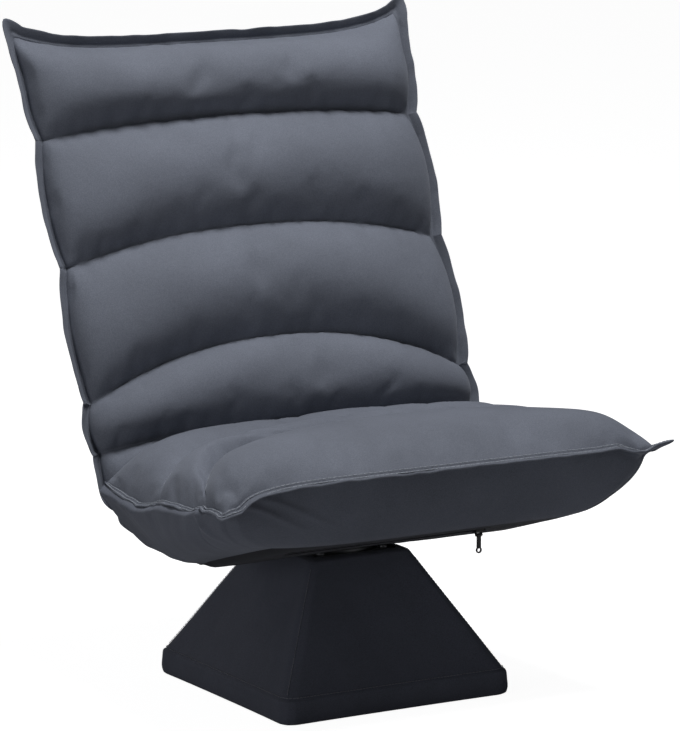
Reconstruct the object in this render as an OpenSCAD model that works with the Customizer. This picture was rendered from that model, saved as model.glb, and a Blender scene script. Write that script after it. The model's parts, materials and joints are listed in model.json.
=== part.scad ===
// Swivel floor chair with a folding back.
// The origin is on the swivel axis at the floor. The sitter faces -Y, and +Z is up.

/* [Foot] */
// Width of the square foot at the floor
base_w = 286; // [240:1:360]
// Width of the foot's cover at its top
base_top_w = 124; // [116:1:160]
// Height of the sewn hem band round the foot
hem_band_h = 28; // [20:1:40]
// Radius of the foot's corners at the floor
base_corner_r = 13; // [11:1:30]
// How far the middle of each sloping face draws in
base_face_sag = 2.5; // [0:0.5:5]
// Height of the top of the foot's steel plate
foot_h = 157; // [130:1:220]
// Thickness of all cover cloth with its lining
cloth_t = 2; // [1:0.1:3]
// Height of the floor pads
pad_h = 3; // [2:0.5:6]
// Diameter of the floor pads
pad_d = 24; // [16:1:36]
// Thickness of the board that closes the foot
board_t = 9; // [6:1:15]
// Diameter of the foot's tubes
foot_tube_d = 16; // [12:1:22]

/* [Swivel] */
// Width of the square swivel plates
swivel_w = 100; // [90:1:110]
// Thickness of the swivel plates
swivel_t = 1.6; // [1.2:0.1:3]
// Distance between the screw holes of the swivel plates
screw_pitch = 80; // [76:1:84]
// Radius of the ball circle
race_r = 39; // [34:0.5:40]
// Diameter of the balls
ball_d = 6; // [5:0.5:7]
// Number of balls
ball_count = 24; // [12:1:30]
// Diameter of the kingpin
kingpin_d = 10; // [8:1:14]
// Thread diameter of the plate screws
screw_d = 6; // [5:0.5:8]

/* [Frame] */
// Diameter of the seat and back tubes
tube_d = 19; // [16:1:25]
// Wall of the tubes
tube_wall = 1.5; // [1:0.1:2.5]
// Distance between the side tubes, centre to centre
frame_w = 380; // [340:1:400]
// Height of the rear seat rail
rail_h = 23; // [20:1:30]
// Width of the seat rails
rail_w = 16; // [14:1:18]
// Distance from the swivel axis to the front of the seat frame
frame_front = 166; // [150:1:180]
// Upward slope of the seat frame towards its front
frame_rise = 5; // [3:0.5:6]
// Height of the back frame above the hinge
back_frame_h = 520; // [440:1:620]
// Width of the webbing straps
strap_w = 30; // [20:1:40]
// Thickness of the webbing straps
strap_t = 1.5; // [1:0.1:3]

/* [Hinge] */
// Distance of the hinge axis behind the swivel axis
hinge_y = 75; // [70:1:90]
// Lean of the back from the vertical at rest
back_tilt = 22; // [18:1:26]
// Turn of the back from rest to flat
recline_range = 68; // [51:17:68]
// Turn of the back from rest to its forward stop
forward_range = 8; // [4:1:10]
// Turn of the back between two clicks
click_pitch = 17; // [17:17:17]
// Diameter of the hinge pins
pin_d = 8; // [6:0.5:9]
// Thickness of the toothed plates
ratchet_t = 4; // [3:0.5:5]
// Thickness of the cheeks on both sides of a toothed plate
cheek_t = 2.5; // [2:0.1:3.5]
// Radius of the toothed plates over the teeth
ratchet_r = 15.5; // [14:0.5:17]
// Depth of the teeth
tooth_h = 2.6; // [2:0.1:3]
// Diameter of the pawl pins
pawl_pin_d = 5; // [4:0.5:6]

/* [Cushions] */
// Width of the seat over its seam, without the flange
seat_w = 524; // [500:1:560]
// Depth of the seat from its front seam to its rear seam
seat_depth = 284; // [270:1:294]
// Height of the seat's front seam above the floor
seat_seam_h = 276; // [260:1:290]
// Slope of the seat's seam, high at the front
seat_slope = 6; // [3:0.5:9]
// Height of the seat's padding over its seam
seat_crown = 44; // [20:1:50]
front_seam_lift = 13; // [0:1:20]
// Width of the back over its seam, without the flange
back_w = 476; // [440:1:520]
// Length of the back's padded front along its lean
back_len = 528; // [460:1:600]
// Height of the back's padding over its seam
back_crown = 47; // [25:1:50]
// Depth of the rear cover behind the back's seam
back_depth = 47; // [40:1:60]

/* [Zip] */
// Length of the zip under the seat's front edge
zip_len = 250; // [150:1:300]
// Width of the zip tape
zip_w = 24; // [18:1:30]
// Length of the pull tab
tab_len = 20; // [14:0.5:26]

/* [Hidden] */
$fn = 48;
// Clearance between soft pieces and between welded neighbours
soft_gap = 0.3;
weld_gap = 0.1;
// Radial clearance of everything that turns on a pin
run_gap = 0.05;
eps = 0.01;

// Heights of the foot and the swivel, from the floor up
board_z = pad_h;
ring_z = board_z + board_t + foot_tube_d / 2;
ring_top = ring_z + foot_tube_d / 2;
base_half = base_w / 2;
top_half = base_top_w / 2;
top_plate_t = 3;
top_plate_z = foot_h - top_plate_t;
top_plate_half = swivel_w / 2 + 5;
ring_half = base_half - cloth_t - foot_tube_d / 2 - 14;
ring_bend_r = 30;
board_screw_at = ring_half;
board_half = base_half - cloth_t - 7;
race_gap = 1.2;
swivel_h = 2 * swivel_t + ball_d - 0.2;
ball_z = foot_h + swivel_h / 2;
swivel_top = foot_h + swivel_h;
screw_half = screw_pitch / 2;
screw_head_r = screw_d * 0.8;
screw_head_h = 2.2;
nut_h = 5;
kingpin_nut_h = 7;

// Seat frame
rail_z = swivel_top;
rail_y = screw_half;
tube_r = tube_d / 2;
bore_r = tube_r - tube_wall;
side_x = frame_w / 2;
frame_bend_r = 35;

// Hinge: the axis runs along X through this point of the YZ plane
hinge_z = rail_z + rail_h + weld_gap + tube_r / cos(frame_rise) - (hinge_y - rail_y - rail_w / 2) * tan(frame_rise);
// Height of the seat tubes' centre line
function tube_z(y) = hinge_z + (hinge_y - y) * tan(frame_rise);
cheek_gap = ratchet_t / 2 + soft_gap;
cheek_out = cheek_gap + cheek_t;
cheek_r = ratchet_r + 3.5;
tongue_h = 2 * sqrt(bore_r * bore_r - cheek_out * cheek_out) - 0.6;
tongue_len = 18;
back_tube_y = 12;
back_tube_z = 40;
pin_head_r = 7;
pin_head_h = 2;
root_r = ratchet_r - tooth_h;
// The pawl lies under the toothed plate, with its pin in front
pawl_at = [-20, -13];
pawl_lift = 9;
seat_tube_end = hinge_y + pawl_at.x - pawl_pin_d / 2 - 5.5;
nose_angle = 262;

// Planes through the hinge axis that keep the two cushions apart over the whole travel,
// as angles from the vertical, positive to the rear
back_front_angle = 20;
back_rear_angle = 51;
wedge_gap = 2.3;
seat_rear_angle = back_tilt - back_front_angle - forward_range - wedge_gap;
seat_low_angle = back_tilt + recline_range + back_rear_angle + 3;

// Seat cover and cushion
seam_front_y = -234;
seam_rear_y = seam_front_y + seat_depth;
function seam_z(y) = seat_seam_h - (y - seam_front_y) * tan(seat_slope);
seat_half = seat_w / 2;
bottom_z = rail_z - 2 * cloth_t - soft_gap + 0.2;
bottom_flat_y = -rail_y - rail_w / 2 - 2;
bottom_rise = 0.31;
function under_z(y) = bottom_z + max(0, bottom_flat_y - y) * bottom_rise;
bottom_front_y = seam_front_y + 46;
under_slope = atan(bottom_rise);
swivel_hole_r = swivel_w / 2 * sqrt(2) + 3.5;
bowl_bottom_half = seat_half - 66;
panel_t = 1.5;
opening_half = bowl_bottom_half - 2;
opening_front = bottom_front_y + 2;
opening_rear = hinge_y - 15;
foam_half = seat_half - 28;
strap_top = tube_r + weld_gap + strap_t;
foam_side_lean = 24;
foam_corner_r = 50;
zip_y = opening_front + 30;
zip_mid_x = -26;
zip_park_x = 90;

// Back, in its own frame: x across, y to the rear of the back, z up along it from the hinge axis
seam_plane = -10;
back_start = 30;
back_half = back_w / 2;
back_rail_at = [120, 330];

// Colours as the photo shows them
slate = [0.36, 0.38, 0.42];
slate_dark = [0.24, 0.25, 0.29];
near_black = [0.13, 0.13, 0.16];
steel = [0.62, 0.63, 0.65];
frame_black = [0.10, 0.10, 0.11];
foam_grey = [0.85, 0.84, 0.80];

function lerp(a, b, t) = a + (b - a) * t;
function unit(v) = v / norm(v);
function smooth(t) = t * t * (3 - 2 * t);

// Placement helpers

// Children keep +Z along the line from a to b
module along(a, b) {
    d = b - a;
    translate(a) rotate([0, acos(d.z / norm(d)), atan2(d.y, d.x)]) children();
}

// Children are drawn in the back's own frame
module at_back(turn = back_tilt) {
    translate([0, hinge_y, hinge_z]) rotate([-turn, 0, 0]) children();
}

// Children are drawn in the seat frame's own plane, with y = 0 at the hinge axis
module at_seat() {
    translate([0, hinge_y, hinge_z]) rotate([-frame_rise, 0, 0]) children();
}

// Children are drawn with x to the rear and y up in the YZ plane at the hinge axis, centred on x = at
module hinge_plane(at, thick) {
    translate([at, hinge_y, hinge_z]) rotate([90, 0, 90])
        linear_extrude(height = thick, center = true) children();
}

// An outline drawn as (y, z) points, extruded along X to both sides
module prism_x(half, points) {
    rotate([90, 0, 90]) linear_extrude(height = 2 * half, center = true) polygon(points);
}

module both_sides() {
    for (side = [-1, 1]) translate([side * side_x, 0, 0]) children();
}

module at_screws(z) {
    for (x = [-1, 1], y = [-1, 1]) translate([x * screw_half, y * screw_half, z]) children();
}

// A square with rounded corners, made of exact arcs
module rounded_square(half, r) {
    square([2 * half, 2 * (half - r)], center = true);
    square([2 * (half - r), 2 * half], center = true);
    for (x = [-1, 1], y = [-1, 1]) translate([x * (half - r), y * (half - r)]) circle(r);
}

// Bent tube

// Length that a bend takes from the straight on each side of point i
function bend_cut(p, bend_r, i) =
    i == 0 || i == len(p) - 1 ? 0
    : bend_r * tan(acos(unit(p[i] - p[i - 1]) * unit(p[i + 1] - p[i])) / 2);

module bent_bar(p, bend_r, r, over = 0) {
    last = len(p) - 1;
    for (i = [0 : last - 1]) {
        u = unit(p[i + 1] - p[i]);
        a = p[i] + u * (bend_cut(p, bend_r, i) - (i == 0 ? over : 0));
        b = p[i + 1] - u * (bend_cut(p, bend_r, i + 1) - (i == last - 1 ? over : 0));
        along(a, b) cylinder(r = r, h = norm(b - a));
    }
    for (i = [1 : last - 1]) {
        u = unit(p[i - 1] - p[i]);
        v = unit(p[i + 1] - p[i]);
        w = unit(v - u * (u * v));
        c = p[i] + u * bend_cut(p, bend_r, i) + w * bend_r;
        n = cross(w, u);
        multmatrix([[-w.x, -u.x, n.x, c.x], [-w.y, -u.y, n.y, c.y], [-w.z, -u.z, n.z, c.z], [0, 0, 0, 1]])
            rotate_extrude(angle = 180 - acos(u * v)) translate([bend_r, 0]) circle(r);
    }
}

module bent_tube(p, bend_r, r, wall) {
    difference() {
        bent_bar(p, bend_r, r);
        bent_bar(p, bend_r, r - wall, 1);
    }
}

// Lofts

// Closed skin over rings of equal length; the last ring joins the first where loop is true
module loft(rings, loop = false) {
    n = len(rings[0]);
    m = len(rings);
    points = [for (r = rings) for (p = r) p];
    sides = [for (j = [0 : loop ? m - 1 : m - 2]) for (i = [0 : n - 1]) for (f = [
        [j * n + i, j * n + (i + 1) % n, ((j + 1) % m) * n + (i + 1) % n],
        [j * n + i, ((j + 1) % m) * n + (i + 1) % n, ((j + 1) % m) * n + i]]) f];
    caps = loop ? [] : [[for (i = [n - 1 : -1 : 0]) i], [for (i = [0 : n - 1]) (m - 1) * n + i]];
    polyhedron(points = points, faces = [for (f = concat(sides, caps)) [for (i = [len(f) - 1 : -1 : 0]) f[i]]],
               convexity = 6);
}

// Points of a square ring with round corners, whose sides draw in by sag at their middle
arc_steps = 4;
side_steps = 4;
function square_ring(half, r, sag, z) = [
    for (k = [0 : 3]) for (p = concat(
        [for (j = [0 : arc_steps]) [half - r + r * cos(90 * j / arc_steps), half - r + r * sin(90 * j / arc_steps)]],
        [for (i = [1 : side_steps - 1]) let (t = 1 - 2 * i / side_steps) [(half - r) * t, half - sag * (1 - t * t)]]))
        [p.x * cos(90 * k) - p.y * sin(90 * k), p.x * sin(90 * k) + p.y * cos(90 * k), z]];

// Foot

module floor_pads() {
    spot = ring_half - 26;
    color(near_black) for (p = [[0, 0], [-spot, -spot], [spot, -spot], [spot, spot], [-spot, spot]])
        translate([p.x, p.y, 0]) cylinder(d = pad_d, h = pad_h);
}

module at_board_screws() {
    for (a = [0 : 90 : 270]) rotate(a) translate([board_screw_at, 0, board_z]) children();
}

module base_board() {
    color([0.66, 0.52, 0.36]) difference() {
        translate([0, 0, board_z]) linear_extrude(height = board_t) rounded_square(board_half, base_corner_r + 9);
        at_board_screws() {
            translate([0, 0, -eps]) cylinder(r = 2.6, h = board_t + 2 * eps);
            translate([0, 0, -eps]) cylinder(r1 = 5.2 + eps, r2 = 2.6, h = 2.6 + eps);
        }
    }
}

module board_screws() {
    color(steel) at_board_screws() {
        translate([0, 0, 0.3]) cylinder(r1 = 4.9, r2 = 2.5, h = 2.4);
        cylinder(r = 2.5, h = board_t + 6, center = false);
    }
}

module base_ring() {
    h = ring_half;
    color(frame_black) difference() {
        bent_tube([[0, -h, ring_z], [h, -h, ring_z], [h, h, ring_z], [-h, h, ring_z], [-h, -h, ring_z],
                   [0, -h, ring_z]], ring_bend_r, foot_tube_d / 2, tube_wall);
        at_board_screws() cylinder(r = 2.6, h = board_t + 5);
    }
}

module base_legs() {
    low = ring_half - ring_bend_r * (1 - cos(45));
    high = screw_half - 20;
    reach = top_plate_z - ring_top;
    color(frame_black) for (a = [45 : 90 : 315]) rotate(a) intersection() {
        difference() {
            along([low * sqrt(2), 0, ring_top], [high * sqrt(2), 0, top_plate_z])
                translate([0, 0, -20]) cylinder(d = foot_tube_d, h = reach + 60);
            along([low * sqrt(2), 0, ring_top], [high * sqrt(2), 0, top_plate_z])
                translate([0, 0, -30]) cylinder(d = foot_tube_d - 2 * tube_wall, h = reach + 80);
        }
        translate([0, -50, ring_top + weld_gap]) cube([300, 100, reach - 2 * weld_gap]);
    }
}

module base_top_plate() {
    color(frame_black) difference() {
        translate([0, 0, top_plate_z]) linear_extrude(height = top_plate_t) rounded_square(top_plate_half, 6);
        at_screws(top_plate_z - 1) cylinder(r = screw_d / 2 + 0.1, h = top_plate_t + 2);
        translate([0, 0, top_plate_z - 1]) cylinder(r = kingpin_d / 2 + 0.1, h = top_plate_t + 2);
    }
}

// Half-width of the foot's cover at height z over the hem band
function slope_half(z) = lerp(base_half - 3, top_half, (z - hem_band_h) / (foot_h - hem_band_h));

module base_cover() {
    slope = [for (t = [0 : 0.2 : 1]) lerp(hem_band_h + 3, foot_h, t)];
    outer = concat(
        [[base_half - 5, 1], [base_half - 0.8, 5], [base_half, 12], [base_half - 2.2, hem_band_h]],
        [for (z = slope) [slope_half(z), z]]);
    top = foot_h + cloth_t;
    rings = concat(
        [for (p = outer) square_ring(p[0], lerp(base_corner_r, 10, p[1] / foot_h),
                                     base_face_sag * sin(180 * p[1] / foot_h), p[1])],
        [square_ring(top_half - 1.5, 10, 0, top), square_ring(top_plate_half - 3, 7, 0, top),
         square_ring(top_plate_half - 3, 7, 0, foot_h + 0.1)],
        [for (i = [len(outer) - 1 : -1 : 1]) let (p = outer[i])
            square_ring(p[0] - cloth_t, lerp(base_corner_r, 10, p[1] / foot_h) - 1.5,
                        base_face_sag * sin(180 * p[1] / foot_h), min(p[1], foot_h) + (i == len(outer) - 1 ? 0.1 : 0))],
        [square_ring(base_half - 5, base_corner_r - 2, 0, pad_h - eps),
         square_ring(ring_half - 8, base_corner_r - 4, 0, pad_h - eps),
         square_ring(ring_half - 8, base_corner_r - 4, 0, 1)]);
    color(slate_dark) loft(rings, loop = true);
}

// Swivel bearing: two pressed plates, a ball ring between them and a pin that holds them together

module race_profile(base_z, lip) {
    difference() {
        translate([race_r - 6, min(base_z, base_z + lip)]) square([12, abs(lip)]);
        translate([race_r, ball_z]) circle(r = ball_d / 2 + run_gap);
    }
}

module swivel_plate(z, lip, bore) {
    difference() {
        union() {
            translate([0, 0, z]) linear_extrude(height = swivel_t) rounded_square(swivel_w / 2, 8);
            rotate_extrude() race_profile(lip > 0 ? z : z + swivel_t, lip);
        }
        rotate_extrude() translate([race_r, ball_z]) circle(r = ball_d / 2 + run_gap);
        at_screws(z - 1) cylinder(r = screw_d / 2 + 0.1, h = swivel_t + 2);
        translate([0, 0, z - 1]) cylinder(r = bore, h = swivel_t + 2);
    }
}

module swivel_lower_plate() {
    color(steel) swivel_plate(foot_h, swivel_h / 2 - race_gap / 2, kingpin_d / 2 + run_gap);
}

module swivel_upper_plate() {
    color(steel) swivel_plate(swivel_top - swivel_t, race_gap / 2 - swivel_h / 2, kingpin_d / 2 + run_gap);
}

module ball_cage() {
    color([0.8, 0.72, 0.4]) difference() {
        translate([0, 0, ball_z - 0.4]) linear_extrude(height = 0.8) difference() {
            circle(race_r + 5);
            circle(race_r - 5);
        }
        for (i = [0 : ball_count - 1]) rotate(360 * i / ball_count)
            translate([race_r, 0, ball_z - 1]) cylinder(r = ball_d / 2 + 0.1, h = 2);
    }
}

module swivel_balls() {
    color([0.75, 0.76, 0.78]) for (i = [0 : ball_count - 1]) rotate(360 * i / ball_count)
        translate([race_r, 0, ball_z]) sphere(d = ball_d);
}

module pan_screw(length) {
    difference() {
        cylinder(r = screw_head_r, h = screw_head_h);
        translate([0, 0, screw_head_h - 1.2]) cylinder(r = screw_d * 0.28, h = 2, $fn = 6);
    }
    translate([0, 0, -length]) cylinder(d = screw_d, h = length + eps);
}

module hex_nut(d, h) {
    difference() {
        cylinder(r = d * 0.95, h = h, $fn = 6);
        translate([0, 0, -1]) cylinder(r = d / 2 + run_gap, h = h + 2);
    }
}

module lower_screws() {
    color(steel) at_screws(foot_h + swivel_t) pan_screw(swivel_t + top_plate_t + nut_h + 2);
}

module lower_nuts() {
    color(steel) at_screws(top_plate_z - nut_h) hex_nut(screw_d, nut_h);
}

module upper_screws() {
    color(steel) at_screws(swivel_top - swivel_t) mirror([0, 0, 1]) pan_screw(swivel_t + tube_wall + nut_h + 2);
}

module upper_nuts() {
    color(steel) at_screws(rail_z + tube_wall) hex_nut(screw_d, nut_h);
}

module kingpin() {
    color(steel) translate([0, 0, swivel_top + soft_gap]) {
        cylinder(r = kingpin_d * 0.9, h = 3);
        translate([0, 0, -(swivel_h + top_plate_t + kingpin_nut_h + 3)])
            cylinder(d = kingpin_d, h = swivel_h + top_plate_t + kingpin_nut_h + 3 + eps);
    }
}

module kingpin_nut() {
    color(steel) translate([0, 0, top_plate_z - kingpin_nut_h]) hex_nut(kingpin_d, kingpin_nut_h);
}

// Seat frame

module seat_rails() {
    half = side_x + 3;
    color(frame_black) for (y = [-rail_y, rail_y]) {
        h = tube_z(y + rail_w / 2) - tube_r / cos(frame_rise) - weld_gap - rail_z;
        difference() {
            translate([-half, y - rail_w / 2, rail_z]) cube([2 * half, rail_w, h]);
            translate([-half - 1, y - rail_w / 2 + tube_wall, rail_z + tube_wall])
                cube([2 * half + 2, rail_w - 2 * tube_wall, h - 2 * tube_wall]);
            for (x = [-1, 1]) translate([x * screw_half, y, rail_z - 1])
                cylinder(r = screw_d / 2 + 0.1, h = tube_wall + 2);
        }
    }
}

module seat_frame() {
    front = -(frame_front + hinge_y) / cos(frame_rise);
    rear = -(hinge_y - seat_tube_end);
    color(frame_black) at_seat() bent_tube([[-side_x, rear, 0], [-side_x, front, 0], [side_x, front, 0], [side_x, rear, 0]],
                                           frame_bend_r, tube_r, tube_wall);
}

// One strap across two tubes at the given half distance, with its ends wrapped round them
module strap(half) {
    r = tube_r + weld_gap;
    translate([-half, -strap_w / 2, r]) cube([2 * half, strap_w, strap_t]);
    for (side = [0, 1]) mirror([side, 0, 0]) translate([half, 0, 0]) rotate([90, 0, 0]) difference() {
        cylinder(r = r + strap_t, h = strap_w, center = true);
        cylinder(r = r, h = strap_w + 2, center = true);
        translate([-50, -50, -50]) cube([50, 50 + r - 1, 100]);
        translate([-50, -50, -50]) cube([50 + eps, 50, 100]);
    }
}

module seat_straps() {
    color(near_black) at_seat() for (y = [-75, -138, -180]) translate([0, y, 0]) strap(side_x);
}

// Ratchet hinge

// Flat bar in the tube's end, square to the hinge axis
module tongue(from_y, length) {
    translate([weld_gap - cheek_out, from_y, -tongue_h / 2]) cube([2 * (cheek_out - weld_gap), length, tongue_h]);
}

module cheek_outline() {
    lug_r = pawl_pin_d / 2 + 4;
    circle(cheek_r);
    rotate(-frame_rise) translate([seat_tube_end - hinge_y, weld_gap - tongue_h / 2])
        square([hinge_y - seat_tube_end, tongue_h - 2 * weld_gap]);
    translate(pawl_at) circle(lug_r);
    polygon([[0, 0.5 - cheek_r], [pawl_at.x, pawl_at.y - lug_r + 0.5], [pawl_at.x - lug_r + 0.5, pawl_at.y],
             [pawl_at.x - lug_r + 0.5, 0], [0, 0]]);
}

module hinge_cheeks() {
    color(steel) both_sides() {
        for (side = [-1, 1]) translate([side * (cheek_gap + cheek_t / 2), 0, 0]) hinge_plane(0, cheek_t) difference() {
            cheek_outline();
            circle(r = pin_d / 2);
            translate(pawl_at) circle(r = pawl_pin_d / 2);
        }
        at_seat() tongue(seat_tube_end - hinge_y - tongue_len, tongue_len + 1);
    }
}

module hinge_pins() {
    color(steel) both_sides() translate([0, hinge_y, hinge_z]) rotate([0, 90, 0]) {
        cylinder(d = pin_d, h = 2 * cheek_out, center = true);
        for (side = [-1, 1]) translate([0, 0, side * (cheek_out + pin_head_h / 2)])
            cylinder(r = pin_head_r, h = pin_head_h, center = true);
    }
}

module pawl_pins() {
    color(steel) both_sides() translate([0, hinge_y + pawl_at.x, hinge_z + pawl_at.y]) rotate([0, 90, 0]) {
        cylinder(d = pawl_pin_d, h = 2 * cheek_out, center = true);
        for (side = [-1, 1]) translate([0, 0, side * (cheek_out + 0.75)])
            cylinder(d = pawl_pin_d + 3, h = 1.5, center = true);
    }
}

// One notch per click; past the first click the rim stays low, so the back folds forward freely
module ratchet_outline() {
    clicks = recline_range / click_pitch;
    difference() {
        circle(r = ratchet_r);
        circle(r = pin_d / 2 + run_gap);
        for (k = [0 : clicks]) rotate(nose_angle + back_tilt + k * click_pitch) notch();
        rotate(nose_angle + back_tilt) free_rim();
    }
}

// The notch is drawn on +X: its steep flank carries the back, the other lets it rise
module notch() {
    polygon([[root_r, -1.3], [root_r, 1.3], [ratchet_r + 1, 1.4], [ratchet_r + 1, -2]]);
}

module free_rim() {
    difference() {
        polygon(concat([[0, 0]], [for (a = [0 : 4 : 24]) (ratchet_r + 4) * [cos(a), -sin(a)]]));
        circle(r = root_r);
    }
}

module ratchet() {
    arm_w = 14;
    at_back() {
        rotate([90, 0, 90]) linear_extrude(height = ratchet_t, center = true) {
            ratchet_outline();
            difference() {
                polygon([[-arm_w / 2, 4], [arm_w / 2, 4], [arm_w / 2, ratchet_r + 3],
                         [back_tube_y + tongue_h / 2, back_tube_z - 8], [back_tube_y + tongue_h / 2, back_tube_z + eps],
                         [back_tube_y - tongue_h / 2, back_tube_z + eps], [back_tube_y - tongue_h / 2, back_tube_z - 8],
                         [-arm_w / 2, ratchet_r + 3]]);
                circle(r = pin_d / 2 + run_gap);
            }
        }
        translate([0, back_tube_y, back_tube_z]) rotate([90, 0, 0]) tongue(0, tongue_len);
    }
}

module ratchet_left() {
    color(steel) translate([-side_x, 0, 0]) ratchet();
}

module ratchet_right() {
    color(steel) translate([side_x, 0, 0]) ratchet();
}

// The pawl is drawn in the hinge's plane, engaged: a hub on its pin, an arm under the rim and a tooth
module pawl_arm() {
    function rim(r, a) = r * [cos(a), sin(a)];
    polygon([pawl_at + [1, 3.5], rim(ratchet_r + 0.7, nose_angle - 17), rim(ratchet_r + 0.7, nose_angle - 2),
             rim(root_r + 0.35, nose_angle - 3.5), rim(root_r + 0.35, nose_angle + 3.5),
             rim(ratchet_r + 0.7, nose_angle + 4), rim(ratchet_r + 4, nose_angle + 5),
             rim(ratchet_r + 4.6, nose_angle - 12), pawl_at + [1, -3.5]]);
}

module pawl() {
    translate([0, hinge_y + pawl_at.x, hinge_z + pawl_at.y]) rotate([-pawl_lift, 0, 0]) difference() {
        union() {
            rotate([0, 90, 0]) cylinder(r = pawl_pin_d / 2 + 2.6, h = ratchet_t, center = true);
            rotate([90, 0, 90]) linear_extrude(height = ratchet_t, center = true) translate(-pawl_at) pawl_arm();
        }
        rotate([0, 90, 0]) cylinder(r = pawl_pin_d / 2 + run_gap, h = ratchet_t + 2, center = true);
    }
}

module pawl_left() {
    color(steel) translate([-side_x, 0, 0]) pawl();
}

module pawl_right() {
    color(steel) translate([side_x, 0, 0]) pawl();
}

// Back frame

module back_frame() {
    top = back_frame_h;
    color(frame_black) at_back() bent_tube([
        [-side_x, back_tube_y, back_tube_z], [-side_x, back_tube_y, top], [side_x, back_tube_y, top],
        [side_x, back_tube_y, back_tube_z]], 60, tube_r, tube_wall);
}

module back_rails() {
    half = side_x - tube_r - weld_gap;
    color(frame_black) at_back() for (z = back_rail_at) translate([-half, back_tube_y, z]) rotate([0, 90, 0])
        difference() {
            cylinder(d = foot_tube_d, h = 2 * half);
            translate([0, 0, -1]) cylinder(d = foot_tube_d - 2 * tube_wall, h = 2 * half + 2);
        }
}

module back_straps() {
    color(near_black) at_back() for (z = [80, 170, 225, 280, 385, 435])
        translate([0, back_tube_y, z]) rotate([90, 0, 0]) strap(side_x);
}

// Padding

module seat_foam() {
    nose_y = seam_front_y + 22;
    rear_y = hinge_y - cheek_r - 18;
    function low(y) = tube_z(y) + strap_top / cos(frame_rise) + soft_gap;
    function half(z) = foam_half - (seam_z(nose_y) - z) * tan(foam_side_lean);
    color(foam_grey) intersection() {
        prism_x(foam_half, [[rear_y, low(rear_y)], [nose_y, low(nose_y)],
                            [nose_y - 8, seam_z(nose_y - 8) - soft_gap], [rear_y, seam_z(rear_y) - soft_gap]]);
        translate([0, rear_y + 1, 0]) rotate([90, 0, 0]) linear_extrude(height = rear_y - nose_y + 20)
            polygon([for (s = [-1, 1]) for (z = s < 0 ? [150, 320] : [320, 150]) [s * half(z), z]]);
        translate([0, (rear_y + nose_y - 8) / 2, 150]) linear_extrude(height = 200) offset(r = foam_corner_r)
            square([2 * (foam_half - foam_corner_r), rear_y - nose_y + 8 - 2 * foam_corner_r], center = true);
    }
}

module back_foam() {
    front = seam_plane + soft_gap;
    color(foam_grey) at_back() translate([-back_half + 14, front, 70])
        cube([2 * back_half - 28, back_tube_y - strap_top - soft_gap - front, back_frame_h - 70]);
}

module back_wadding() {
    color(foam_grey) at_back() translate([-side_x + 12, back_tube_y + foot_tube_d / 2 + soft_gap, 75])
        cube([2 * side_x - 24, back_depth + seam_plane - cloth_t - 4 - back_tube_y - foot_tube_d / 2, back_frame_h - 130]);
}

// Height over its seam plane of a padded, channelled panel, as a fraction of its crown.
// a runs from -1 to 1 across, u from 0 to 1 along one channel, low and high are the borders' heights.
function pad_height(a, u, low, high) =
    let (crown = pow(1 - pow(abs(a), 5.5), 0.5), crease = lerp(low, high, smooth(u)) * pow(1 - pow(abs(a), 2.6), 0.55))
    crease + (crown - crease) * pow(max(0, 1 - pow(abs(2 * u - 1), 2.3)), 0.72);

// Closed cushion. seams lists [place at the sides, place in the middle, height, skew] for each border.
// at(a, l, h) gives the point at fraction a across, place l along and height h.
pad_columns = 18;
pad_rows = 6;
function pad_rows_of(seams) = [for (k = [0 : len(seams) - 2]) for (j = [k == 0 ? 0 : 1 : pad_rows]) [k, j / pad_rows]];
function pad_across() = [for (i = [0 : pad_columns]) sin(180 * i / pad_columns - 90)];
function seam_at(seam, a) = lerp(seam[1], seam[0], a * a) + seam[3] * a;
function pad_place(seams, r, a) = lerp(seam_at(seams[r[0]], a), seam_at(seams[r[0] + 1], a), r[1]);
function pad_rise(seams, r, a) = pad_height(a, r[1], seams[r[0]][2], seams[r[0] + 1][2]);

module pad(points, rows, columns) {
    n = columns + 1;
    edge = concat([for (i = [0 : columns]) i], [for (j = [1 : rows - 1]) j * n + columns],
                  [for (i = [columns - 1 : -1 : 0]) (rows - 1) * n + i], [for (j = [rows - 2 : -1 : 1]) j * n]);
    middle = (points[0] + points[columns] + points[(rows - 1) * n] + points[rows * n - 1]) / 4;
    faces = concat(
        [for (j = [0 : rows - 2]) for (i = [0 : columns - 1]) for (f = [
            [j * n + i, (j + 1) * n + i, (j + 1) * n + i + 1], [j * n + i, (j + 1) * n + i + 1, j * n + i + 1]]) f],
        [for (k = [0 : len(edge) - 1]) [edge[k], edge[(k + 1) % len(edge)], len(points)]]);
    polyhedron(points = concat(points, [middle]), faces = faces, convexity = 8);
}

seat_seams = [[seam_front_y, seam_front_y, 0, 0], [-178, -83, 0.56, 30], [-109, -5, 0.6, 30],
              [seam_rear_y, seam_rear_y + 12, 0, 0]];

// The full front roll lifts the edge seam between the corners
function front_lift(x, y) = front_seam_lift * exp(-max(0, y - seam_front_y) / 35)
    * smooth(min(1, max(0, (seat_half - abs(x)) / 46)));

// The same lift under the cushion, whose lower side falls straight from its border to its middle
seat_middle_y = (seam_front_y + seam_rear_y) / 2;
function lift_below(x, y) = let (t = (seat_middle_y - y) / (seat_middle_y - seam_front_y))
    t <= 0 || abs(x) >= t * seat_half ? 0 : max(0, front_lift(x / t, seam_front_y) * t - 1.5);

// Keeps what lies in front of the plane through the hinge axis that bounds the seat
module seat_side_only() {
    intersection() {
        children();
        prism_x(400, [[hinge_y, hinge_z], for (r = [600]) each [
            [hinge_y + r * sin(seat_rear_angle), hinge_z + r * cos(seat_rear_angle)],
            [hinge_y - 2 * r, hinge_z + r], [hinge_y - 2 * r, hinge_z - r],
            [hinge_y + r * sin(seat_low_angle), hinge_z + r * cos(seat_low_angle)]]]);
    }
}

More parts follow.
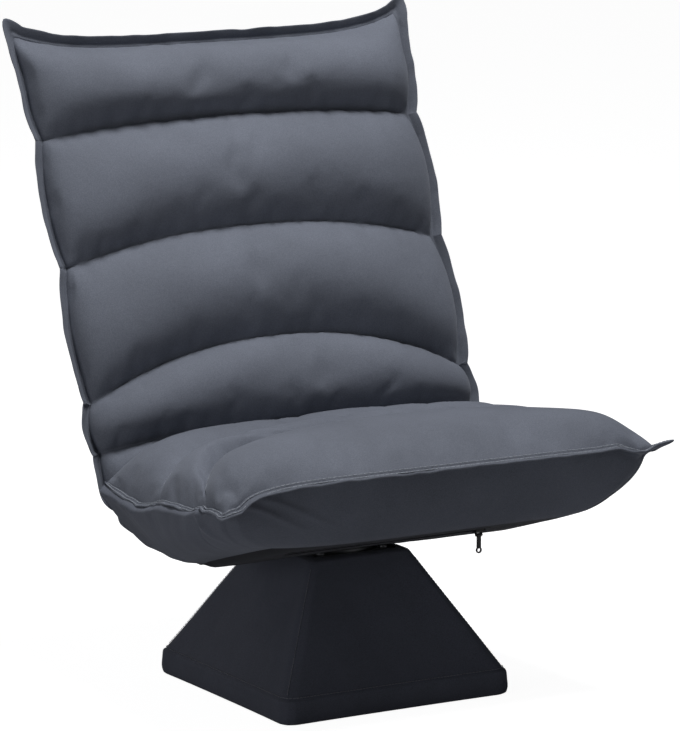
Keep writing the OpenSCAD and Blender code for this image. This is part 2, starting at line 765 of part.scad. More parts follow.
module seat_cushion() {
    rows = pad_rows_of(seat_seams);
    n = [0, sin(seat_slope), cos(seat_slope)];
    points = [for (r = rows) for (a = pad_across()) let (x = a * seat_half, y = pad_place(seat_seams, r, a))
        [x, y, seam_z(y) + front_lift(x, y)] + n * seat_crown * pad_rise(seat_seams, r, a)];
    color(slate) pad(points, len(rows), pad_columns);
}

back_seams = [[back_start, back_start, 0, 0], [74, 86, 0.46, 0], [128, 182, 0.36, 0],
              [281, 311, 0.32, 0], [427, 440, 0.32, 0],
              [back_start + back_len, back_start + back_len - 16, 0, 0]];

module back_cushion() {
    rows = pad_rows_of(back_seams);
    points = [for (r = rows) for (a = pad_across()) let (l = pad_place(back_seams, r, a))
        [-a * back_half, max(-l * tan(back_front_angle) + 0.5, seam_plane - back_crown * pad_rise(back_seams, r, a)), l]];
    color(slate) at_back() pad(points, len(rows), pad_columns);
}

// Rear cover: a shell that bellies out behind the seam plane
function rear_ring(t, inset, y) = let (w = back_half - inset - 34 * t, low = back_start + inset + 6 * t,
    high = back_start + back_len - 16 - inset - 30 * t, r = 40, mid = (low + high) / 2, half = (high - low) / 2)
    [for (k = [0 : 3]) for (j = [0 : 5]) let (a = 90 * k + 18 * j, sx = k == 0 || k == 3 ? 1 : -1, sz = k < 2 ? 1 : -1)
        [sx * (w - r) + r * cos(a), y, mid + sz * (half - r) + r * sin(a)]];

module back_rear_cover() {
    steps = [0, 0.25, 0.5, 0.75, 0.92, 1];
    outer = [for (t = steps) rear_ring(pow(t, 2.2), 0, seam_plane + soft_gap + back_depth * sin(90 * t))];
    inner = [for (t = [1, 0.92, 0.75, 0.5, 0.25, 0]) rear_ring(pow(t, 2.2), cloth_t,
        seam_plane + soft_gap + max(0, back_depth * sin(90 * t) - (t > 0 ? cloth_t : 0)))];
    color(slate_dark) at_back() difference() {
        loft([for (i = [5 : -1 : 0]) outer[i]]);
        translate([0, -eps, 0]) loft(inner);
        both_sides() translate([-ratchet_t / 2 - 1.5, back_tube_y - 26, back_start - 3]) cube([ratchet_t + 3, 38, 16]);
    }
}

// Lower cover of the seat: a bowl from the seam down to the bottom seam
function bowl_ring(g, inset) =
    let (belly = pow(max(0, 1 - pow(g, 2.6)), 1 / 2.6),
         w = lerp(bowl_bottom_half, seat_half, belly) - inset,
         front = lerp(bottom_front_y, seam_front_y, pow(max(0, 1 - pow(g, 1.7)), 1 / 1.7)) + inset,
         rear = hinge_y + 40 - inset, r = lerp(46, 22, g))
    [for (k = [0 : 3]) for (j = [0 : k % 2 == 1 ? 6 : 5]) let (a = 90 * k + 18 * j, sx = k == 0 || k == 3 ? 1 : -1,
        x = j == 6 ? sx * w : sx * (w - r) + r * cos(a),
        y = j == 6 ? bottom_flat_y : (k < 2 ? rear - r : front + r) + r * sin(a))
        [x, y, lerp(seam_z(y) + lift_below(x, y), under_z(y), g) + (g > 0.99 ? inset : 0)
            - (g < 0.01 ? soft_gap - (inset > 0 ? 1 : 0) : 0)]];

// Rings of the bowl from the bottom to the seam, then a small one that draws its lid to the middle
function bowl_rings(inset) = let (gap = soft_gap - (inset > 0 ? 1 : 0),
    middle = [0, seat_middle_y, seam_z(seat_middle_y) - gap])
    concat([for (g = [1, 0.94, 0.82, 0.64, 0.42, 0.2, 0]) bowl_ring(g, inset)],
           [[for (p = bowl_ring(0, inset)) lerp(middle, [p.x, p.y, seam_z(p.y) - gap], 0.02)]]);

module seat_lower_cover() {
    color(slate_dark) difference() {
        seat_side_only() difference() {
            loft(bowl_rings(0));
            loft(bowl_rings(cloth_t));
        }
        translate([-opening_half, opening_front, bottom_z - 5])
            cube([2 * opening_half, opening_rear - opening_front, 60]);
        translate([-400, opening_rear - 1, bottom_z - 5]) cube([800, 200, 18]);
    }
}

module seat_bottom_panel() {
    z = soft_gap;
    front = opening_front + soft_gap;
    line = [[front, under_z(front) + z], [bottom_flat_y, bottom_z + z], [opening_rear + 1.6, bottom_z + z]];
    color(near_black) difference() {
        prism_x(opening_half - soft_gap, concat(line, [for (i = [2 : -1 : 0]) line[i] + [0, panel_t]]));
        translate([0, 0, bottom_z - 5]) cylinder(r = swivel_hole_r, h = 20);
    }
}

// Zip under the front edge, drawn flat with the tape's top at z = 0 and y towards the rear
module at_zip(x) {
    translate([x, zip_y, under_z(zip_y) + soft_gap]) rotate([-under_slope, 0, 0]) children();
}

module zip_tape() {
    color(near_black) at_zip(zip_mid_x) {
        translate([-zip_len / 2, -zip_w / 2, -1.2]) cube([zip_len, zip_w, 1.1]);
        translate([-zip_len / 2 + 4, -2, -2.4]) cube([zip_len - 8, 4, 1.3]);
        for (side = [-1, 1]) translate([side * (zip_len / 2 - 2.5) - 1, -3, -2.8]) cube([2, 6, 1.7]);
    }
}

module zip_slider() {
    color(steel) at_zip(zip_park_x) difference() {
        union() {
            translate([-5, -4.5, -4.2]) cube([10, 9, 2.8]);
            for (x = [-4, 3]) translate([x, -1.5, -8.2]) cube([1, 3, 4.1]);
            translate([-4, 0, -7.2]) rotate([0, 90, 0]) cylinder(d = 1.6, h = 8);
        }
        translate([-6, -2.3, -2.9]) cube([12, 4.6, 3]);
    }
}

module zip_tab() {
    w = 7;
    color(near_black) at_zip(zip_park_x) translate([0, 0, -7.2]) rotate([under_slope, 0, 0])
        difference() {
            union() {
                rotate([0, 90, 0]) cylinder(d = 4, h = 5, center = true);
                translate([-2.5, -0.8, -tab_len + w / 2]) cube([5, 1.6, tab_len - w / 2]);
                translate([0, 0, -tab_len + w / 2]) rotate([90, 0, 0]) cylinder(d = w, h = 1.6, center = true);
            }
            rotate([0, 90, 0]) cylinder(r = 0.8 + run_gap, h = 8, center = true);
            translate([0, 0, -tab_len + w / 2]) rotate([90, 0, 0]) cylinder(d = w - 3, h = 4, center = true);
        }
}

// Cloth that joins the lower cover to the rear cover behind the hinge
module hinge_gusset() {
    low = [opening_rear + 2, bottom_z + cloth_t + soft_gap];
    high = [hinge_y + (back_depth + seam_plane) * cos(back_tilt) + 10, hinge_z - 1];
    bow = 12;
    d = unit(high - low);
    out = [d.y, -d.x];
    function arc(t, s) = lerp(low, high, t) + out * (bow * sin(180 * t) + s);
    color(slate_dark) prism_x(back_half - 30, concat([for (t = [0 : 0.125 : 1]) arc(t, 0)],
                                                [for (t = [1 : -0.125 : 0]) arc(t, -cloth_t)]));
}

floor_pads();
base_board();
board_screws();
base_ring();
base_legs();
base_top_plate();
base_cover();
swivel_lower_plate();
lower_screws();
lower_nuts();
kingpin();
kingpin_nut();
ball_cage();
swivel_balls();
swivel_upper_plate();
upper_screws();
upper_nuts();
seat_rails();
seat_frame();
hinge_cheeks();
hinge_pins();
pawl_pins();
seat_straps();
seat_foam();
seat_cushion();
seat_lower_cover();
seat_bottom_panel();
zip_tape();
hinge_gusset();
back_frame();
back_rails();
ratchet_left();
ratchet_right();
back_straps();
back_foam();
back_wadding();
back_cushion();
back_rear_cover();
pawl_left();
pawl_right();
zip_slider();
zip_tab();
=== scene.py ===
# %% [markdown]
# A low floor chair: a padded seat and back with sewn cross channels, on a square pyramid foot.
# Everything hard is already packed as a fixed frame. This script loads it, then makes what the
# frame can't show: stuffed cloth, seams, folds, stitches and the finish of each surface.

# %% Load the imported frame
import json
import math
import time

import bpy
import numpy as np
from mathutils import Matrix, Vector, noise


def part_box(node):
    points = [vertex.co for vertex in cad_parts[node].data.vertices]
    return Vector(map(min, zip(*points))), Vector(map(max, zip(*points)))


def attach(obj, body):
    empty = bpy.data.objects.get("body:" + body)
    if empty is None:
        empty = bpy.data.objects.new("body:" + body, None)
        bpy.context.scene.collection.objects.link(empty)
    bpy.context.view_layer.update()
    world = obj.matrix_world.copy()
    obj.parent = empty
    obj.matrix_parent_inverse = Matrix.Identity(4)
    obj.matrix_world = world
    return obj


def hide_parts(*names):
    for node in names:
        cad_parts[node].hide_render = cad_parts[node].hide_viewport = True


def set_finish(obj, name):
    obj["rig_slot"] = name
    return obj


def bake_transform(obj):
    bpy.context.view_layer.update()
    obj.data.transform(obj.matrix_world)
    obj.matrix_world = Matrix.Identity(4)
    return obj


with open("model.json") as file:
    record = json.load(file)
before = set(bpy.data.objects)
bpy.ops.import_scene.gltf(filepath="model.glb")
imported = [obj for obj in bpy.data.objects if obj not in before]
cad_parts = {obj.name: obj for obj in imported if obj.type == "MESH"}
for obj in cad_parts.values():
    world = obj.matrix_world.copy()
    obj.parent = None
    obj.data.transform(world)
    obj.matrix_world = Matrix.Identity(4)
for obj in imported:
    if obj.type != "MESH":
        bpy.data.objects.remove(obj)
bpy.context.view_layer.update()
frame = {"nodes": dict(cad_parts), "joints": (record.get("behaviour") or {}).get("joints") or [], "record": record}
scene = bpy.context.scene

# %% [markdown]
# The camera stands where the photographer stood: low, in front and to the chair's right, with a
# long lens. Its place was found by matching about forty outline points, and the small shift keeps
# the chair where it sits in the picture.

# %% Camera at the photograph's viewpoint
CAMERA_AT = (-2.495, -4.2406, 1.2536)
CAMERA_LOOKS_AT = (0, 0, 0.3674)


def stand(thing, at, target):
    """Places a camera or lamp and turns it towards its target."""
    scene.collection.objects.link(thing)
    thing.location = at
    thing.rotation_mode = "QUATERNION"
    thing.rotation_quaternion = (Vector(target) - Vector(at)).to_track_quat("-Z", "Y")


camera_data = bpy.data.cameras.new("camera")
camera_data.lens = 224.8
camera_data.sensor_width = 36
camera_data.shift_x = 0.0094
camera_data.shift_y = -0.0111
camera = bpy.data.objects.new("camera", camera_data)
stand(camera, CAMERA_AT, CAMERA_LOOKS_AT)
scene.camera = camera

# %% [markdown]
# The picture has a white ground and soft light from above. One large lamp almost overhead gives the
# rolls their bright tops and dark lower sides. A weaker, low one from the left lights the side of
# the lower cover and the foot, a faint one in front opens the shadows, and one behind draws the rear
# edges. The ground is white only where the camera sees it, so no extra light falls on the chair.

# %% Lamps and world
def area_lamp(name, at, target, size, watts):
    data = bpy.data.lights.new(name, "AREA")
    data.shape = "DISK"
    data.size = size
    data.energy = watts
    stand(bpy.data.objects.new(name, data), at, target)


area_lamp("key", (0.15, -0.45, 2.95), (0, 0.05, 0.35), 1.1, 75)
area_lamp("fill", (-3.2, -1.0, 0.5), (0, 0, 0.20), 1.6, 24)
area_lamp("front", (1.8, -3.4, 0.5), (0, 0, 0.25), 1.4, 7)
area_lamp("rim", (-1.2, 2.2, 1.8), (0, 0.1, 0.4), 1.2, 8)

scene.view_settings.view_transform = "Standard"
world = bpy.data.worlds.new("studio")
scene.world = world
world.use_nodes = True
sky = world.node_tree.nodes["Background"]
sky.inputs["Color"].default_value = (1, 1, 1, 1)
AMBIENT = 0.050
sky.inputs["Strength"].default_value = AMBIENT
wn, wl = world.node_tree.nodes, world.node_tree.links
backdrop = wn.new("ShaderNodeBackground")
backdrop.inputs["Color"].default_value = (1, 1, 1, 1)
backdrop.inputs["Strength"].default_value = 1
path = wn.new("ShaderNodeLightPath")
pick = wn.new("ShaderNodeMixShader")
wl.new(path.outputs["Is Camera Ray"], pick.inputs[0])
wl.new(sky.outputs[0], pick.inputs[1])
wl.new(backdrop.outputs[0], pick.inputs[2])
wl.new(pick.outputs[0], wn["World Output"].inputs["Surface"])

# %% [markdown]
# The floor is a large pale sheet. To the camera it glows enough to read as pure white, as in the
# photograph; otherwise it only throws a little light back up. It isn't part of the chair.

# %% Pale floor
def new_material(name):
    material = bpy.data.materials.new(name)
    material.use_nodes = True
    return material, material.node_tree.nodes, material.node_tree.links


def mesh_object(name, points, faces):
    mesh = bpy.data.meshes.new(name)
    mesh.from_pydata([tuple(p) for p in points], [], faces)
    mesh.validate()
    mesh.shade_smooth()
    piece = bpy.data.objects.new(name, mesh)
    scene.collection.objects.link(piece)
    return piece


FLOOR_HALF = 30
floor = mesh_object("floor", [(-FLOOR_HALF, -FLOOR_HALF, 0), (FLOOR_HALF, -FLOOR_HALF, 0),
                              (FLOOR_HALF, FLOOR_HALF, 0), (-FLOOR_HALF, FLOOR_HALF, 0)], [(0, 1, 2, 3)])
material, nodes, links = new_material("floor white")
shader = nodes["Principled BSDF"]
shader.inputs["Base Color"].default_value = (0.35, 0.35, 0.36, 1)
shader.inputs["Roughness"].default_value = 0.9
shader.inputs["Specular IOR Level"].default_value = 0.1
glow = nodes.new("ShaderNodeEmission")
glow.inputs["Strength"].default_value = 0.95
path = nodes.new("ShaderNodeLightPath")
both = nodes.new("ShaderNodeAddShader")
mix = nodes.new("ShaderNodeMixShader")
links.new(shader.outputs[0], both.inputs[0])
links.new(glow.outputs[0], both.inputs[1])
links.new(path.outputs["Is Camera Ray"], mix.inputs[0])
links.new(shader.outputs[0], mix.inputs[1])
links.new(both.outputs[0], mix.inputs[2])
links.new(mix.outputs[0], nodes["Material Output"].inputs["Surface"])
floor.data.materials.append(material)

# %% [markdown]
# The cover is a smooth brushed polyester. Up close it has a fine, slightly felted nap over a plain
# weave; from a step away it reads as soft slate grey that turns lighter where it is seen edge on.
# A flat colour can't do that. The nap is fine noise in the colour and the bump, the soft
# lightening at the edge is the shader's sheen, and broad noise makes the slow, cloudy change that
# pressed pile has.

# %% Cloth materials
def add_noise(nodes, links, coords, scale, detail=3.0, roughness=0.55):
    node = nodes.new("ShaderNodeTexNoise")
    node.inputs["Scale"].default_value = scale
    node.inputs["Detail"].default_value = detail
    node.inputs["Roughness"].default_value = roughness
    links.new(coords, node.inputs["Vector"])
    return node


def ramp(nodes, links, source, low, high, low_at=0.3, high_at=0.7):
    node = nodes.new("ShaderNodeValToRGB")
    node.color_ramp.elements[0].position = low_at
    node.color_ramp.elements[0].color = (*low, 1)
    node.color_ramp.elements[1].position = high_at
    node.color_ramp.elements[1].color = (*high, 1)
    links.new(source, node.inputs["Fac"])
    return node


def add_bump(nodes, links, height, strength, distance, after=None):
    node = nodes.new("ShaderNodeBump")
    node.inputs["Strength"].default_value = strength
    node.inputs["Distance"].default_value = distance
    links.new(height, node.inputs["Height"])
    if after is not None:
        links.new(after.outputs["Normal"], node.inputs["Normal"])
    return node


def shade(colour, factor):
    return tuple(c * factor for c in colour)


THREADS_PER_METRE = 2600


def cloth_material(name, colour, sheen=0.12, ripple=0.6):
    material, nodes, links = new_material(name)
    shader = nodes["Principled BSDF"]
    coords = nodes.new("ShaderNodeTexCoord").outputs["Object"]
    cloudy = add_noise(nodes, links, coords, 9, 4)
    nap = add_noise(nodes, links, coords, 900, 2)
    tone = ramp(nodes, links, cloudy.outputs["Fac"], shade(colour, 0.9), shade(colour, 1.1))
    fibre = ramp(nodes, links, nap.outputs["Fac"], (0.86, 0.86, 0.86), (1.12, 1.12, 1.12), 0.35, 0.65)
    mix = nodes.new("ShaderNodeMix")
    mix.data_type = "RGBA"
    mix.blend_type = "MULTIPLY"
    mix.inputs["Factor"].default_value = 1
    links.new(tone.outputs["Color"], mix.inputs["A"])
    links.new(fibre.outputs["Color"], mix.inputs["B"])
    links.new(mix.outputs["Result"], shader.inputs["Base Color"])
    shader.inputs["Roughness"].default_value = 0.82
    shader.inputs["Specular IOR Level"].default_value = 0.25
    shader.inputs["Sheen Weight"].default_value = sheen
    shader.inputs["Sheen Roughness"].default_value = 0.45
    shader.inputs["Sheen Tint"].default_value = (0.75, 0.8, 0.9, 1)
    crumple = add_noise(nodes, links, coords, 28, 5, 0.5)
    soft = add_bump(nodes, links, crumple.outputs["Fac"], ripple, 0.0022)
    threads = nodes.new("ShaderNodeTexWave")
    threads.wave_type = "BANDS"
    threads.bands_direction = "DIAGONAL"
    threads.inputs["Scale"].default_value = THREADS_PER_METRE / 6
    threads.inputs["Distortion"].default_value = 1.5
    threads.inputs["Detail Scale"].default_value = 2
    links.new(coords, threads.inputs["Vector"])
    woven = add_bump(nodes, links, threads.outputs["Fac"], 0.25, 0.00012, soft)
    felt = add_bump(nodes, links, nap.outputs["Fac"], 0.5, 0.00018, woven)
    links.new(felt.outputs["Normal"], shader.inputs["Normal"])
    return material


SLATE = (0.124, 0.136, 0.168)
# The cloth below the seat, behind the hinge and on the back's rear is the same cover cloth made darker: painted shade
SLATE_UNDER_PAINTED_SHADE = (0.094, 0.103, 0.130)
# The foot's cloth is the same cloth darker still: painted shade, the seat's shadow over the foot
SLATE_FOOT_PAINTED_SHADE = (0.062, 0.067, 0.090)
cover_cloth = cloth_material("slate brushed cloth", SLATE)
under_cloth_painted_shade = cloth_material("slate cloth below painted shade", SLATE_UNDER_PAINTED_SHADE)
foot_cloth_painted_shade = cloth_material("slate cloth foot painted shade", SLATE_FOOT_PAINTED_SHADE, sheen=0.15)
lining_cloth = cloth_material("black lining", (0.018, 0.018, 0.022), sheen=0.05, ripple=0.3)
# The flange's cloth is the cover cloth made darker: painted shade along the sewn edge
edge_cloth_painted_shade = cloth_material("slate flange cloth painted shade", shade(SLATE, 0.86), ripple=0.9)

# %% [markdown]
# Seam thread is coloured lighter than the cloth, a painted highlight, and slightly glossy, so a row of stitches reads
# as a pale line.

# %% Thread material
def thread_material(name, colour):
    material, nodes, links = new_material(name)
    shader = nodes["Principled BSDF"]
    coords = nodes.new("ShaderNodeTexCoord").outputs["Object"]
    twist = add_noise(nodes, links, coords, 1500, 1)
    tone = ramp(nodes, links, twist.outputs["Fac"], shade(colour, 0.7), shade(colour, 1.2))
    links.new(tone.outputs["Color"], shader.inputs["Base Color"])
    shader.inputs["Roughness"].default_value = 0.5
    links.new(add_bump(nodes, links, twist.outputs["Fac"], 0.4, 0.0001).outputs["Normal"], shader.inputs["Normal"])
    return material


seam_thread_painted_highlight = thread_material("seam thread", (0.25, 0.27, 0.31))

# %% [markdown]
# The metal and board inside the chair show only from below or when the back is folded, but they
# still get a real finish: black powder coat has a fine orange peel, zinc plate a cloudy grain, its
# colour darkened as painted shade, and the board its long fibres. The foam and the bearing's cage
# are coloured charcoal as painted shade, so that they stay dark between the covers.

# %% Finishes of the hidden structure
def hard_material(name, colour, roughness, metallic, grain_scale, grain_depth, stretch=(1, 1, 1), contrast=0.12):
    material, nodes, links = new_material(name)
    shader = nodes["Principled BSDF"]
    coords = nodes.new("ShaderNodeTexCoord").outputs["Object"]
    mapping = nodes.new("ShaderNodeMapping")
    mapping.inputs["Scale"].default_value = stretch
    links.new(coords, mapping.inputs["Vector"])
    grain = add_noise(nodes, links, mapping.outputs["Vector"], grain_scale, 4)
    cloud = add_noise(nodes, links, mapping.outputs["Vector"], grain_scale / 20, 3)
    tone = ramp(nodes, links, cloud.outputs["Fac"], shade(colour, 1 - contrast), shade(colour, 1 + contrast))
    links.new(tone.outputs["Color"], shader.inputs["Base Color"])
    rough = nodes.new("ShaderNodeMapRange")
    rough.inputs["To Min"].default_value = max(0.05, roughness - 0.1)
    rough.inputs["To Max"].default_value = roughness + 0.1
    links.new(cloud.outputs["Fac"], rough.inputs["Value"])
    links.new(rough.outputs["Result"], shader.inputs["Roughness"])
    shader.inputs["Metallic"].default_value = metallic
    links.new(add_bump(nodes, links, grain.outputs["Fac"], 0.5, grain_depth).outputs["Normal"], shader.inputs["Normal"])
    return material


finishes = {
    "frame_steel": hard_material("black powder coat", (0.012, 0.012, 0.014), 0.45, 0, 900, 0.00008),
    # The zinc plate is darkened, and the cage and the foam further down are charcoal: painted shade under the seat and
    # between the covers
    "plated_steel": hard_material("zinc plate darkened as painted shade", (0.17, 0.175, 0.185), 0.45, 1, 1200, 0.00003),
    "cage_plastic": hard_material("bearing cage plastic painted shade", (0.035, 0.036, 0.040), 0.5, 0, 600, 0.00004),
    "board": hard_material("raw board", (0.36, 0.23, 0.12), 0.8, 0, 260, 0.0002, (1, 9, 9), 0.3),
    "pad_rubber": hard_material("pad rubber", (0.02, 0.02, 0.022), 0.85, 0, 700, 0.0001),
    "zip_metal": hard_material("black enamel", (0.008, 0.008, 0.009), 0.3, 0, 500, 0.00003),
    "foam": hard_material("charcoal foam painted shade", (0.060, 0.062, 0.068), 0.95, 0, 700, 0.0006),
    "cover_fabric": cover_cloth,
    "lining_fabric": lining_cloth,
}
for row in frame["record"]["subparts"]:
    node = frame["nodes"][row["node"]]
    node.data.materials.clear()
    node.data.materials.append(finishes[row["material_slot"]])
    node["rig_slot"] = row["material_slot"]
print("finished", len(frame["nodes"]), "packed nodes")

# %% [markdown]
# Both cushions are made the same way: two cloths sewn together round the edge and again along cross
# seams, then stuffed. Between two seams the cloth swells into a fat roll; at a seam it is held down
# into a sharp crease; at the sides each roll is gathered into the edge seam. A grid whose rows run
# along the seams is the natural start, because a seam is then simply a row, and it can be held
# while the rest is blown up as simulated cloth.

# %% Helpers for quilted cloth
def lerp(a, b, t):
    return a + (b - a) * t


def smooth(t):
    return t * t * (3 - 2 * t)


def across_grid(columns):
    """Column places from -1 to 1, closer together at the sides, where the rolls turn down."""
    t = np.linspace(-1, 1, columns + 1)
    return np.sin(t * math.pi / 2) * 0.72 + t * 0.28


def roll_rows(seams, counts):
    """Every row of a quilted cloth: its roll, its place from 0 to 1 between the roll's two seams, closer
    together near them, those seams, and whether it lies on one."""
    for roll, count in enumerate(counts):
        t = np.linspace(0, 1, count + 1)
        for j, u in enumerate(lerp(t, (1 - np.cos(t * math.pi)) / 2, 0.75)):
            if j or not roll:
                yield roll, u, seams[roll], seams[roll + 1], j in (0, count)


VALLEY_POWER = 2.6


def roll_height(a, u, low, high, side_power=7.0, round_power=2.1, bulge_power=0.78):
    """Height of a roll over the edge seam's plane, as a share of the crown. low and high are the creases."""
    crown = np.power(np.maximum(0, 1 - np.abs(a) ** side_power), 0.5)
    valley = np.power(np.maximum(0, 1 - np.abs(a) ** VALLEY_POWER), 0.55)
    bulge = np.power(np.maximum(0, 1 - np.abs(2 * u - 1) ** round_power), bulge_power)
    base = lerp(low, high, smooth(u)) * valley
    return base + (crown - base) * bulge


def noise_at(x, y, z):
    """Smooth noise from -1 to 1, the same each run."""
    return noise.noise(Vector((x, y, z)))


def wave(points, seed):
    """Smooth noise from -1 to 1 at each point, repeatable for a seed."""
    shift = Vector((seed * 7.3, seed * 3.1, seed * 5.7))
    return np.array([noise.noise(Vector(p) + shift) for p in points])


def grid_faces(rows, columns, wrap=False):
    """Faces of a grid of rows by columns points; wrap joins the last column to the first."""
    faces = []
    for r in range(rows - 1):
        for c in range(columns if wrap else columns - 1):
            d = (c + 1) % columns
            faces.append((r * columns + c, r * columns + d, (r + 1) * columns + d, (r + 1) * columns + c))
    return faces


def grid_object(name, grid, wrap=False):
    return mesh_object(name, grid.reshape(-1, 3), grid_faces(*grid.shape[:2], wrap=wrap))


# %% [markdown]
# The back has its own frame: x across, y to the rear, z up along the lean, all from the hinge axis.
# Measures are then plain numbers, and one function leans them.

# %% The back's own frame
joints = {joint["name"]: joint for joint in frame["joints"]}
HINGE = Vector(joints["recline"]["pos_m"])
BACK_TILT = math.radians(22)
LEAN = np.array(Matrix.Rotation(-BACK_TILT, 3, "X"))


def on_back(points):
    return np.asarray(points, float) @ LEAN.T + np.array(HINGE)


BACK_PLANE = -0.010
BACK_CROWN = 0.047
# Each seam: its place at the sides, its place in the middle, how high its crease stays, and how
# late it leaves the middle's line
BACK_SEAMS = [(0.023, 0.030, 0.10, 2.2), (0.074, 0.086, 0.46, 2.2), (0.128, 0.182, 0.34, 2.2),
              (0.281, 0.311, 0.30, 2.2), (0.427, 0.440, 0.30, 2.4), (0.549, 0.528, 0.0, 5.0)]
BACK_HALF_LEFT = 0.2400
BACK_HALF_RIGHT = 0.2295
# How far a roll swells out at the sides, widens at the top corners and droops
BACK_CHANNEL_SWELL = 0.008
BACK_CORNER_WIDER = 0.010
BACK_DROOP = 0.005


def seam_place(seam, a):
    return lerp(seam[1], seam[0], np.abs(a) ** seam[3])


# %% Quilted front of the back
BACK_ROLL_ROWS = (11, 22, 22, 22, 22)


def back_front(columns=110):
    a = across_grid(columns)
    points, seam_rows = [], []
    for roll, u, low, high, on_seam in roll_rows(BACK_SEAMS, BACK_ROLL_ROWS):
        if on_seam:
            seam_rows.append(len(points))
        along = lerp(seam_place(low, a), seam_place(high, a), u)
        height = roll_height(a, u, low[2], high[2])
        half = np.where(a < 0, BACK_HALF_LEFT, BACK_HALF_RIGHT)
        half = half + BACK_CHANNEL_SWELL * math.sin(math.pi * u) ** 0.8 * (1 if roll else 0.3)
        top_roll = roll == len(BACK_ROLL_ROWS) - 1
        corner = BACK_CORNER_WIDER * smooth(max(0.0, (u - 0.55) / 0.45)) if top_roll else 0
        droop = BACK_DROOP * math.sin(math.pi * u)
        points.append(np.stack([a * (half + corner), BACK_PLANE - BACK_CROWN * height, along - droop * height], 1))
    return np.array(points), seam_rows


back_grid, back_seam_rows = back_front()

# %% [markdown]
# Stuffed cloth is never as even as a formula. Broad noise makes each roll a little fuller here and
# slacker there, and short puckers run square to every seam where the stitches draw the cloth in.
# They die out within two or three centimetres, so they follow the distance to the nearest seam.

# %% Puckers and slackness
# Depth of broad slackness, how far from the seams and the border it is free, and how little a
# pucker changes along its length
SLACK_DEPTH = 0.0035
SLACK_FREE, SLACK_SIDE = 0.03, 0.08
STREAK = 0.12


def pucker(grid, seam_rows, lift, seed, depth=0.0013, side_depth=0.0028, reach=0.020, pitch=62):
    """Moves a grid's points along lift: broad slackness, and puckers that die away from each seam."""
    rows, columns, _ = grid.shape
    flat = grid.reshape(-1, 3)
    along = np.zeros((rows, columns))
    step = np.linalg.norm(np.diff(grid, axis=0), axis=2)
    along[1:] = np.cumsum(step, axis=0)
    distance = np.min([np.abs(along - along[r]) for r in seam_rows], axis=0)
    side = np.abs(grid[:, :, 0]) / np.abs(grid[:, :, 0]).max()
    fade = np.exp(-distance / reach) * np.minimum(1, distance / 0.004)
    streaks = flat * np.array([pitch, pitch * STREAK, pitch * STREAK])
    fine = wave(streaks, seed).reshape(rows, columns)
    broad = wave(flat * np.array([9, 14, 14]), seed + 5).reshape(rows, columns)
    free = np.clip(distance / SLACK_FREE, 0, 1) * np.clip((1 - side) / SLACK_SIDE, 0, 1)
    amount = fine * fade * lerp(depth, side_depth, side ** 4) * 2 + broad * SLACK_DEPTH * free
    return grid + amount[:, :, None] * lift


back_grid = pucker(back_grid, back_seam_rows, np.array([0, -1.0, 0]), 1)


# %% [markdown]
# Real folds come from spare cloth. The grid is handed to the cloth simulation as a sheet cut a few
# percent too large, held at its seams and border and blown out from behind. What it can't stretch
# over gathers into puckers along the stitches. The result is applied, so no simulation stays on it.

# %% Letting cloth settle
def held_points(grid, seam_rows):
    held = np.zeros(grid.shape[:2], bool)
    held[list(seam_rows)] = True
    held[:, (0, -1)] = True
    return held


def settle_cloth(grid, held, spare=0.006, pressure=4.0, frames=20, cap=0.022, bending=2.0):
    """The grid after a short cloth simulation. spare is the extra share of cloth, cap the farthest travel."""
    began = time.time()
    piece = grid_object("settling", grid)
    piece.vertex_groups.new(name="held").add([int(k) for k in np.flatnonzero(held)], 1.0, "REPLACE")
    modifier = piece.modifiers.new("cloth", "CLOTH")
    cloth = modifier.settings
    cloth.vertex_group_mass = "held"
    cloth.quality = 6
    cloth.bending_stiffness = bending
    cloth.use_pressure = True
    cloth.uniform_pressure_force = pressure
    cloth.shrink_min = -spare
    cloth.effector_weights.gravity = 0
    modifier.point_cache.frame_start, modifier.point_cache.frame_end = 1, frames
    for step in range(1, frames + 1):
        scene.frame_set(step)
    shaped = piece.evaluated_get(bpy.context.evaluated_depsgraph_get()).to_mesh()
    settled = np.empty(len(shaped.vertices) * 3)
    shaped.vertices.foreach_get("co", settled)
    scene.frame_set(1)
    bpy.data.objects.remove(piece)
    travel = settled.reshape(grid.shape) - grid
    length = np.linalg.norm(travel, axis=2, keepdims=True)
    print("cloth settled in", round(time.time() - began, 1), "s; moved up to", round(1000 * length.max(), 1),
          "mm, on average", round(1000 * length.mean(), 1))
    return grid + travel * np.minimum(1, cap / np.maximum(length, 1e-9))


back_grid = settle_cloth(back_grid, held_points(back_grid, back_seam_rows))


# %% [markdown]
# The flange is what makes this chair look sewn: two raw edges turned in and stitched, standing
# proud all round. It is swept here along the edge seam as a flat, soft-edged strip. It waves a
# little, leans forward, and runs out into a pointed ear at the top corners.

